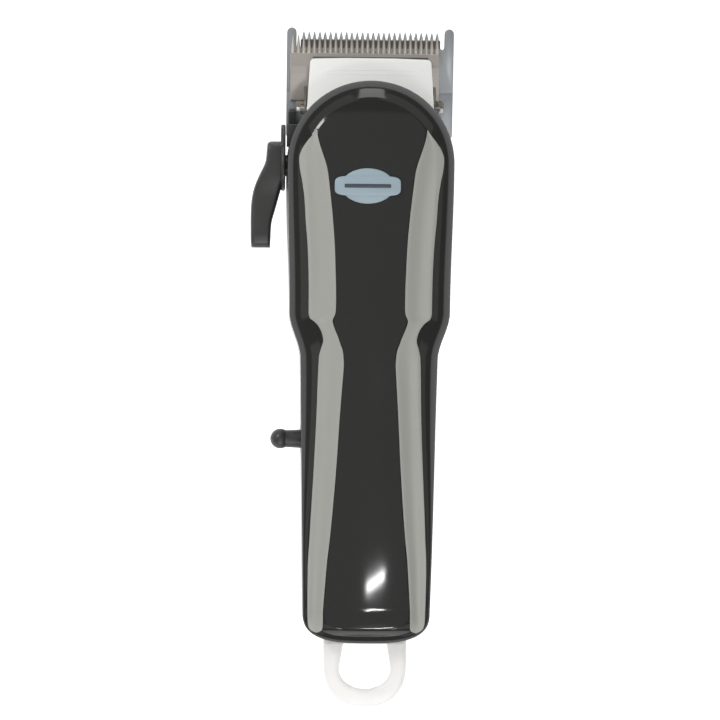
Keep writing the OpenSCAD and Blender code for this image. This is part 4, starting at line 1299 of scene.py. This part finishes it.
@dataclass
class Blades:
    """The fixed blade, the moving cutter and what carries and presses them."""

    blades: BladePlan
    palette: Palette
    repeat: Repeat
    sweep: Sweep
    pitch: float = 1.5
    teeth: int = 28
    horn_w: float = 2.7
    tongue: float = 13.0
    spring_turns: int = 5
    boss_low: Triple = (-23.3, 60.4, 12.4)
    boss_high: Triple = (-19.6, 66.4, 20.6)

    def on_blade(self, solid: Solid) -> Solid:
        """Puts a solid that is drawn in the blade frame in its place."""
        return solid.moved(self.blades.matrix())

    def build_fixed(self) -> bpy.types.Object:
        """The fixed blade: a ground plate with two guard horns, a row of teeth and a dark slab of painted
        shade behind the teeth.
        """
        b = self.blades
        low, high = corners("fixed_blade")
        half = high[0]
        horn = b.u(high[1] - 0.25)
        tip, root = b.u(high[1] - 1.4), b.u(high[1] - 3.4)
        notch = b.u(high[1] - 6.0)
        seam = b.u(low[1] + self.tongue * math.cos(b.tilt), 0.0)
        slot_x = half - self.horn_w - 1.15
        r = self.horn_w / 2
        arc = [
            (half - r + r * math.cos(math.radians(a)), horn - r + r * math.sin(math.radians(a)))
            for a in range(0, 181, 15)
        ]
        right = [(half, seam), *arc, (half - self.horn_w, notch + 0.5), (half - self.horn_w - 0.25, notch),
                 (slot_x + 0.25, notch), (slot_x, notch + 0.5), (slot_x, root)]
        outline = right + [(-x, u) for x, u in reversed(right)]
        plate = self.on_blade(Solid().prism(outline, 0.0, b.blade_t)).made("fixed_plate")
        wedge = [(root - 6, -0.01), (horn + 2, 1.7), (horn + 2, -3), (root - 6, -3)]
        knife = Solid().rows([[(-60, u, w) for u, w in wedge], [(60, u, w) for u, w in wedge]])
        cut(plate, self.on_blade(knife))
        eased(plate, 0.14, 2, 28)
        tongue = self.on_blade(
            Solid().block((-18, seam - self.tongue, 0), (18, seam + 0.5, 1.2))
        ).made("blade_tongue")
        eased(tongue, 0.12, 2)
        wide, slim = self.pitch * 0.46, self.pitch * 0.12
        long = tip - root
        shape = [
            (-wide, -0.6), (wide, -0.6), (slim, long - 0.15), (slim * 0.4, long), (-slim * 0.4, long),
            (-slim, long - 0.15)
        ]
        unit = Solid().prism(shape, 1.35, b.blade_t).made("tooth_unit")
        eased(unit, 0.07, 1)
        unit.data.transform(self._metres(Matrix.Rotation(b.tilt, 4, "X")))
        across = [(i - (self.teeth - 3) / 2) * self.pitch for i in range(self.teeth - 2)]
        places = [tuple(b.matrix() @ Vector((x, root, 0.0))) for x in across]
        row = self.repeat.along("fixed_teeth", places, unit, self.palette.of(BLADE_STEEL))
        # A thin dark slab on the fixed blade's top, from the notch to the tooth roots, is painted shade. It
        # stands for the shade under the cutter teeth, and no groove is cut there.
        relief = [
            (-half + 3.9, notch + 0.3), (half - 3.9, notch + 0.3), (half - 3.9, root - 0.15),
            (-half + 3.9, root - 0.15)
        ]
        shade = self.on_blade(Solid().prism(relief, b.blade_t - 0.6, b.blade_t + 0.012)).made("blade_relief")
        for one in (plate, tongue):
            dressed(one, self.palette.of(BLADE_STEEL))
        dressed(shade, self.palette.of(BLADE_PAINTED_SHADE))
        obj = join_pieces("fixed_blade_ground", [plate, tongue, row, shade])
        return entered(obj, "blade_slide", "blade_steel", "fixed_blade")

    @staticmethod
    def _metres(place: Matrix) -> Matrix:
        """A matrix in millimetres as one in metres."""
        result = place.copy()
        result.translation = place.translation * MM
        return result

    def build_cutter(self) -> bpy.types.Object:
        """The moving cutter: a bevelled bar with a row of narrow teeth."""
        b = self.blades
        low, high = corners("moving_cutter")
        blade_high = corners("fixed_blade")[1][1]
        tip, root = b.u(high[1] + 0.1), b.u(blade_high - 7.0)
        rear = b.u(low[1], 2.5)
        w0 = b.blade_t + 0.02
        top = w0 + 2.2
        side = [
            (rear, w0), (root, w0), (root, w0 + 0.9), (root - 3.6, top), (rear + 0.5, top),
            (rear, top - 0.5)
        ]
        bar = Solid().rows([[(low[0], u, w) for u, w in side], [(high[0], u, w) for u, w in side]])
        plate = self.on_blade(bar).made("cutter_bar")
        eased(plate, 0.12, 2, 15)
        wide, slim = self.pitch * 0.44, self.pitch * 0.09
        span = tip - root
        rings = []
        for share, w in ((-0.08, 0.92), (0.3, 0.85), (0.75, 0.62), (1.0, 0.42)):
            x = mix(wide, slim, clamp(share, 0, 1))
            u = share * span
            rings.append(
                [
                    (-x, u, w0), (x, u, w0), (x, u, w0 + w * 0.55),
                    (x * 0.3, u, w0 + w), (-x * 0.3, u, w0 + w), (-x, u, w0 + w * 0.55)
                ]
            )
        unit = Solid().rows(rings).made("spike_unit")
        shaded(unit, 25)
        unit.data.transform(self._metres(Matrix.Rotation(b.tilt, 4, "X")))
        centre = (low[0] + high[0]) / 2
        across = [centre + (i - (self.teeth - 1) / 2) * self.pitch for i in range(self.teeth)]
        places = [tuple(b.matrix() @ Vector((x, root, 0.0))) for x in across]
        row = self.repeat.along("cutter_teeth", places, unit, self.palette.of(TOOTH_STEEL))
        dressed(plate, self.palette.of(CUTTER_STEEL))
        obj = join_pieces("moving_cutter_ground", [plate, row])
        return entered(obj, "cutter", "cutter_steel", "moving_cutter")

    def build_springs(self) -> bpy.types.Object:
        """Both tension springs: a close coil on its pin, and an arm over the cutter."""
        b = self.blades
        wire = 0.33
        paths = []
        for side in (-1, 1):
            centre_u, centre_w = b.u(70.0, 5.8) + 1.2, 5.8
            path = []
            count = 16 * self.spring_turns
            for i in range(count + 1):
                a = 2 * math.pi * i / 16
                x = side * (19.5 - 1.3 * i / count)
                path.append((x, centre_u + 1.05 * math.sin(a), centre_w + 1.05 * math.cos(a)))
            x_end = side * 18.15
            path += [
                (x_end, centre_u + 1.3, 5.3), (x_end, centre_u + 3.5, 5.22), (x_end, centre_u + 6.4, 5.12)
            ]
            paths.append([tuple(b.matrix() @ Vector(p)) for p in path])
        obj = self.sweep.along("tension_spring_pair", paths, wire, self.palette.of(SPRING_STEEL))
        shaded(obj, 60)
        return entered(obj, "housing", "spring_steel", "tension_springs")

    def build_screws(self) -> None:
        """The slotted screws under the blade and the carrier."""
        b = self.blades
        for node, body, radius, lift in (
            ("blade_screws", "blade_slide", 2.05, 0.05), ("carrier_screws", "housing", 2.3, 0.1)
        ):
            low, high = corners(node)
            head = Solid().turned(
                [
                    (0, 0), (radius - 0.25, 0), (radius, 0.2), (radius * 0.62, 0.95), (1.05, 1.0),
                    (1.05, 1.9), (0, 2.0)
                ],
                36
            )
            unit = head.made("slot_unit")
            cut(unit, Solid().block((-3, -0.28, -1), (3, 0.28, 0.42)))
            shaded(unit, 30)
            unit.data.transform(self._metres(Matrix.Rotation(b.tilt, 4, "X")))
            x = (high[0] - low[0]) / 2 - radius
            mid_y, mid_z = (low[1] + high[1]) / 2, (low[2] + high[2]) / 2
            spot = b.matrix().inverted() @ Vector((0, mid_y, mid_z))
            places = [tuple(b.matrix() @ Vector((s * x, spot.y, lift))) for s in (-1, 1)]
            obj = self.repeat.along(node + "_slotted", places, unit, self.palette.of(SCREW_STEEL))
            entered(obj, body, "screw_steel", node)

    def build_eased(self) -> None:
        """The carrier, the guide bar and the guide block with its boss beside the lever, with eased edges."""
        for node, finish, body, slot, width in (
            ("blade_carrier", CARRIER_STEEL, "blade_slide", "carrier_steel", 0.2),
            ("cutter_guide", GUIDE_BEIGE, "housing", "guide_beige", 0.15),
            ("blade_guide", PART_BLACK, "housing", "black_plastic", 0.5),
        ):
            obj = eased(copied(node), width, 3)
            dressed(obj, self.palette.of(finish))
            if node == "blade_guide":
                boss = eased(Solid().block(self.boss_low, self.boss_high).made("lever_boss"), 0.3, 3)
                obj = join_pieces("blade_guide_eased", [obj, dressed(boss, self.palette.of(finish))])
            entered(obj, body, slot, node)


# --- Controls -------------------------------------------------------------------


@dataclass
class Controls:
    """The taper lever and the power toggle."""

    palette: Palette
    outer: tuple[Pair, ...] = (
        (-24.0, -32.95), (-22, -33.15), (-20.5, -33.2), (-14, -33.2), (-10.4, -32.95), (-7, -32.2),
        (-3.6, -30.8), (-0.3, -29.3), (3, -28.9), (5.0, -28.7), (5.45, -28.4), (5.55, -28.0),
    )
    inner: tuple[Pair, ...] = (
        (-24.0, -27.7), (-22, -27.6), (-17, -27.3), (-13.5, -26.4), (-9, -25.2), (-6.5, -24.5), (-4.6, -23.9),
        (-3.4, -23.75), (-1, -23.68), (3, -23.68), (5.55, -23.68),
    )
    half_high: tuple[Pair, ...] = (
        (-24.0, 2.6), (-23.5, 3.3), (-22.6, 4.0), (-21.4, 4.45), (-20, 4.55), (-10, 4.4), (-4, 5.1),
        (2, 5.3), (4.6, 4.9), (5.55, 3.4),
    )

    def build_lever(self) -> bpy.types.Object:
        """The taper lever: a round hub with a pointed tongue, and a thick curved arm."""
        joint = next(j for j in frame["joints"] if j["name"] == "taper_lever_swing")["pos_m"]
        py, pz = joint[1] / MM, joint[2] / MM
        arm_y = py + 1.0
        outer, inner = curve_through(self.outer), curve_through(self.inner)
        tall = curve_through(self.half_high)
        rings = []
        for y in steps(self.outer[0][0], self.outer[-1][0], 64):
            a, b, h = outer(y), inner(y), tall(y)
            cx, hx = (a + b) / 2, (b - a) / 2
            ring = []
            for i in range(48):
                t = 2 * math.pi * i / 48
                ring.append(
                    (cx + hx * power(math.cos(t), 0.24), arm_y + y, pz + h * power(math.sin(t), 0.36))
                )
            rings.append(ring)
        arm = Solid().rows(rings).made("lever_arm")
        shaded(arm, 50)
        inside = -23.65
        turn = Matrix.Translation((inside, py, pz)) @ Matrix.Rotation(math.radians(-90), 4, "Y")
        hub = Solid().turned(
            [(0, 0), (6.7, 0), (7.05, 0.3), (7.1, 0.7), (6.9, 1.1), (6.5, 1.3), (0, 1.3)], 64
        ).moved(turn).made("lever_hub")
        shaded(hub, 40)
        tongue = [(5, -5), (10, -3), (11.2, -1.4), (11.5, 0), (11.2, 1.4), (10, 3), (5, 5)]
        plate = Solid().rows([
            [(inside - 1.3, py + y, pz + z) for y, z in tongue],
            [(inside, py + y, pz + z) for y, z in tongue],
        ]).made("lever_tongue")
        eased(plate, 0.35, 3)
        shaft = Solid().turned([(0, 0), (3.0, 0), (3.0, 3.6), (1.8, 3.7), (1.8, 5.7), (0, 5.7)], 40)
        shaft.moved(Matrix.Translation((inside - 0.4, py, pz)) @ Matrix.Rotation(math.radians(90), 4, "Y"))
        pin = shaded(shaft.made("lever_shaft"), 40)
        pieces = [arm, hub, plate, pin]
        for one in pieces:
            dressed(one, self.palette.of(LEVER_BLACK))
        obj = join_pieces("taper_lever_glossy", pieces)
        return entered(obj, "lever", "lever_black", "taper_lever")

    def build_toggle(self) -> bpy.types.Object:
        """The power toggle: a round stem with a collar and a ball end."""
        low, high = corners("switch_toggle")
        y, z = (low[1] + high[1]) / 2, (low[2] + high[2]) / 2
        ball_r = 2.8
        profile = [(0.0, 0.0)]
        for i in range(1, 13):
            a = math.radians(i * 9.6)
            profile.append((ball_r * math.sin(a), ball_r * (1 - math.cos(a))))
        profile += [(2.44, 4.15), (2.42, 4.5), (2.46, 6.0), (2.62, 8.6), (2.62, 11.9), (0, 11.9)]
        stem = Solid().turned(profile, 48)
        stem.moved(Matrix.Translation((low[0], y, z)) @ Matrix.Rotation(math.radians(90), 4, "Y"))
        body = shaded(stem.made("toggle_stem"), 45)
        pivot = Solid().turned(
            [(0, -4), (1.0, -4), (1.0, -2.4), (2.3, -2.4), (2.3, 2.4), (1.0, 2.4), (1.0, 4), (0, 4)], 40
        )
        pivot.moved(Matrix.Translation((-15.3, y, z)))
        post = shaded(pivot.made("toggle_pivot"), 40)
        for one in (body, post):
            dressed(one, self.palette.of(LEVER_BLACK))
        obj = join_pieces("power_toggle_glossy", [body, post])
        return entered(obj, "toggle", "lever_black", "switch_toggle")


# --- Kept CAD pieces ------------------------------------------------------------


KEPT: dict[str, Finish] = {
    "motor_can": MOTOR_STEEL, "motor_bush": BRONZE, "motor_magnets": FERRITE,
    "motor_end_bell": PART_BLACK, "motor_terminals": COPPER, "motor_shaft": SCREW_STEEL,
    "armature": WINDINGS, "commutator": COPPER, "crank": ACETAL, "motor_mount": PART_BLACK,
    "mount_screws": SCREW_STEEL, "motor_screws": SCREW_STEEL, "drive_yoke": ACETAL,
    "yoke_screws": SCREW_STEEL, "lever_cam": SCREW_STEEL, "lever_screw": SCREW_STEEL,
    "battery_cell": CELL_WRAP, "battery_contacts": NICKEL, "battery_cradle": PART_BLACK,
    "circuit_board": BOARD_GREEN, "board_screws": SCREW_STEEL, "board_parts": PART_BLACK,
    "switch_body": PART_BLACK, "charging_socket": PART_BLACK, "socket_pin": NICKEL,
    "charge_light": LAMP_LENS, "motor_wires": WIRE_RED, "battery_wires": WIRE_BLACK,
    "socket_wires": WIRE_RED,
}


def dress_kept(palette: Palette) -> None:
    """Gives every CAD node that stays in view its finish."""
    for node, finish in KEPT.items():
        dressed(frame["nodes"][node], palette.of(finish))
        log.info("%s: kept, %s", node, finish.name)


# --- Stage ----------------------------------------------------------------------


@dataclass
class Stage:
    """The floor, the lights and the camera."""

    floor_size: float = 4.0
    distance: float = 0.95
    span: float = 0.2016
    offset: Pair = (0.0027, 0.0018)
    roll: float = 0.58
    aside: float = 0.027
    level: float = 0.017

    def build_floor(self) -> None:
        """A plain white floor under the object."""
        s = self.floor_size / 2 / MM
        obj = Solid(
            points=[(-s, -s, 0), (s, -s, 0), (s, s, 0), (-s, s, 0)], faces=[(0, 1, 2, 3)]
        ).made("floor")
        maker = Maker("floor_white")
        soft = maker.noise((3.0, 3.0, 3.0))
        maker.feed(
            maker.shader.inputs["Base Color"], maker.blend(soft, (0.93, 0.93, 0.93), (0.96, 0.96, 0.96))
        )
        maker.shader.inputs["Roughness"].default_value = 0.9
        maker.shader.inputs["Specular IOR Level"].default_value = 0.1
        maker.shader.inputs["Emission Color"].default_value = (1.0, 1.0, 1.0, 1.0)
        maker.shader.inputs["Emission Strength"].default_value = 0.62
        obj.data.materials.append(maker.material)

    def light(self, name: str, place: Triple, size: Pair, power_w: float, target: Triple) -> None:
        """One soft box.

        Args:
            name: its name.
            place: where it stands, in metres.
            size: its width and height, in metres.
            power_w: its power in watts.
            target: what it points at.
        """
        data = bpy.data.lights.new(name, "AREA")
        data.shape = "RECTANGLE"
        data.size, data.size_y = size
        data.energy = power_w
        obj = bpy.data.objects.new(name, data)
        obj.location = place
        aim = Vector(target) - Vector(place)
        obj.rotation_euler = aim.to_track_quat("-Z", "Y").to_euler()
        bpy.context.scene.collection.objects.link(obj)

    def build_lights(self) -> None:
        """An overhead panel, a key, a small window, two accents, a ring of dim soft boxes and an even sky."""
        mid = (0.0, 0.0, 0.02)
        for index, (turn, dim) in enumerate(
            ((0, 0.4), (58, 0.45), (122, 0.45), (180, 0.55), (238, 0.6), (302, 0.6))
        ):
            a = math.radians(turn)
            place = (1.3 * math.cos(a), 1.3 * math.sin(a), 0.72)
            self.light(f"ring_{index}", place, (1.1, 0.8), 3.4 * dim, mid)
        self.light("overhead", (0.0, 0.0, 1.9), (2.0, 2.8), 6.8, mid)
        self.light("key", (-0.85, 0.85, 1.2), (0.45, 0.4), 10.5, mid)
        self.light("window", (0.17, -0.62, 1.5), (0.26, 0.04), 3.2, mid)
        self.light("front_accent", (0.03, 1.2, 0.4), (0.34, 0.6), 2.4, mid)
        self.light("rear_accent", (0.05, -1.2, 0.85), (0.8, 0.42), 6.5, mid)
        world = bpy.data.worlds.new("studio")
        world.use_nodes = True
        sky = world.node_tree.nodes["Background"]
        sky.inputs["Color"].default_value = (1.0, 1.0, 1.0, 1.0)
        sky.inputs["Strength"].default_value = 0.16
        bpy.context.scene.world = world

    def build_camera(self) -> None:
        """A camera straight above, with the object almost upright in its view."""
        low, high = cad_box
        x = (low[0] + high[0]) / 2 + self.offset[0]
        y = (low[1] + high[1]) / 2 + self.offset[1]
        data = bpy.data.cameras.new("camera")
        data.sensor_width = 36.0
        data.lens = 36.0 * self.distance / self.span
        data.clip_start = 0.01
        obj = bpy.data.objects.new("camera", data)
        lean = math.atan2(self.aside, self.distance)
        obj.location = (x - self.aside, y, self.distance + self.level)
        obj.rotation_euler = (
            Matrix.Rotation(-lean, 3, "Y") @ Matrix.Rotation(math.radians(self.roll), 3, "Z")
        ).to_euler()
        bpy.context.scene.collection.objects.link(obj)
        bpy.context.scene.camera = obj
        bpy.context.scene.view_settings.view_transform = "Standard"


def main() -> None:
    """Builds every piece in order, then the stage."""
    palette, repeat, sweep = Palette(), Repeat(), Sweep()
    low, high = corners("top_cover")
    plan = BodyPlan(rear=low[1], tip=high[1], head_r=high[0])
    blade_plan = BladePlan.from_frame()
    housing = Housing(plan, blade_plan, palette, repeat)
    housing.build_cover()
    housing.build_inlays()
    housing.build_badge()
    housing.build_lower_shell()
    housing.build_nose()
    housing.build_loop()
    housing.build_screws()
    blades = Blades(blade_plan, palette, repeat, sweep)
    blades.build_fixed()
    blades.build_cutter()
    blades.build_springs()
    blades.build_screws()
    blades.build_eased()
    controls = Controls(palette)
    controls.build_lever()
    controls.build_toggle()
    dress_kept(palette)
    stage = Stage()
    stage.build_floor()
    stage.build_lights()
    stage.build_camera()


if __name__ == "__main__":
    main()
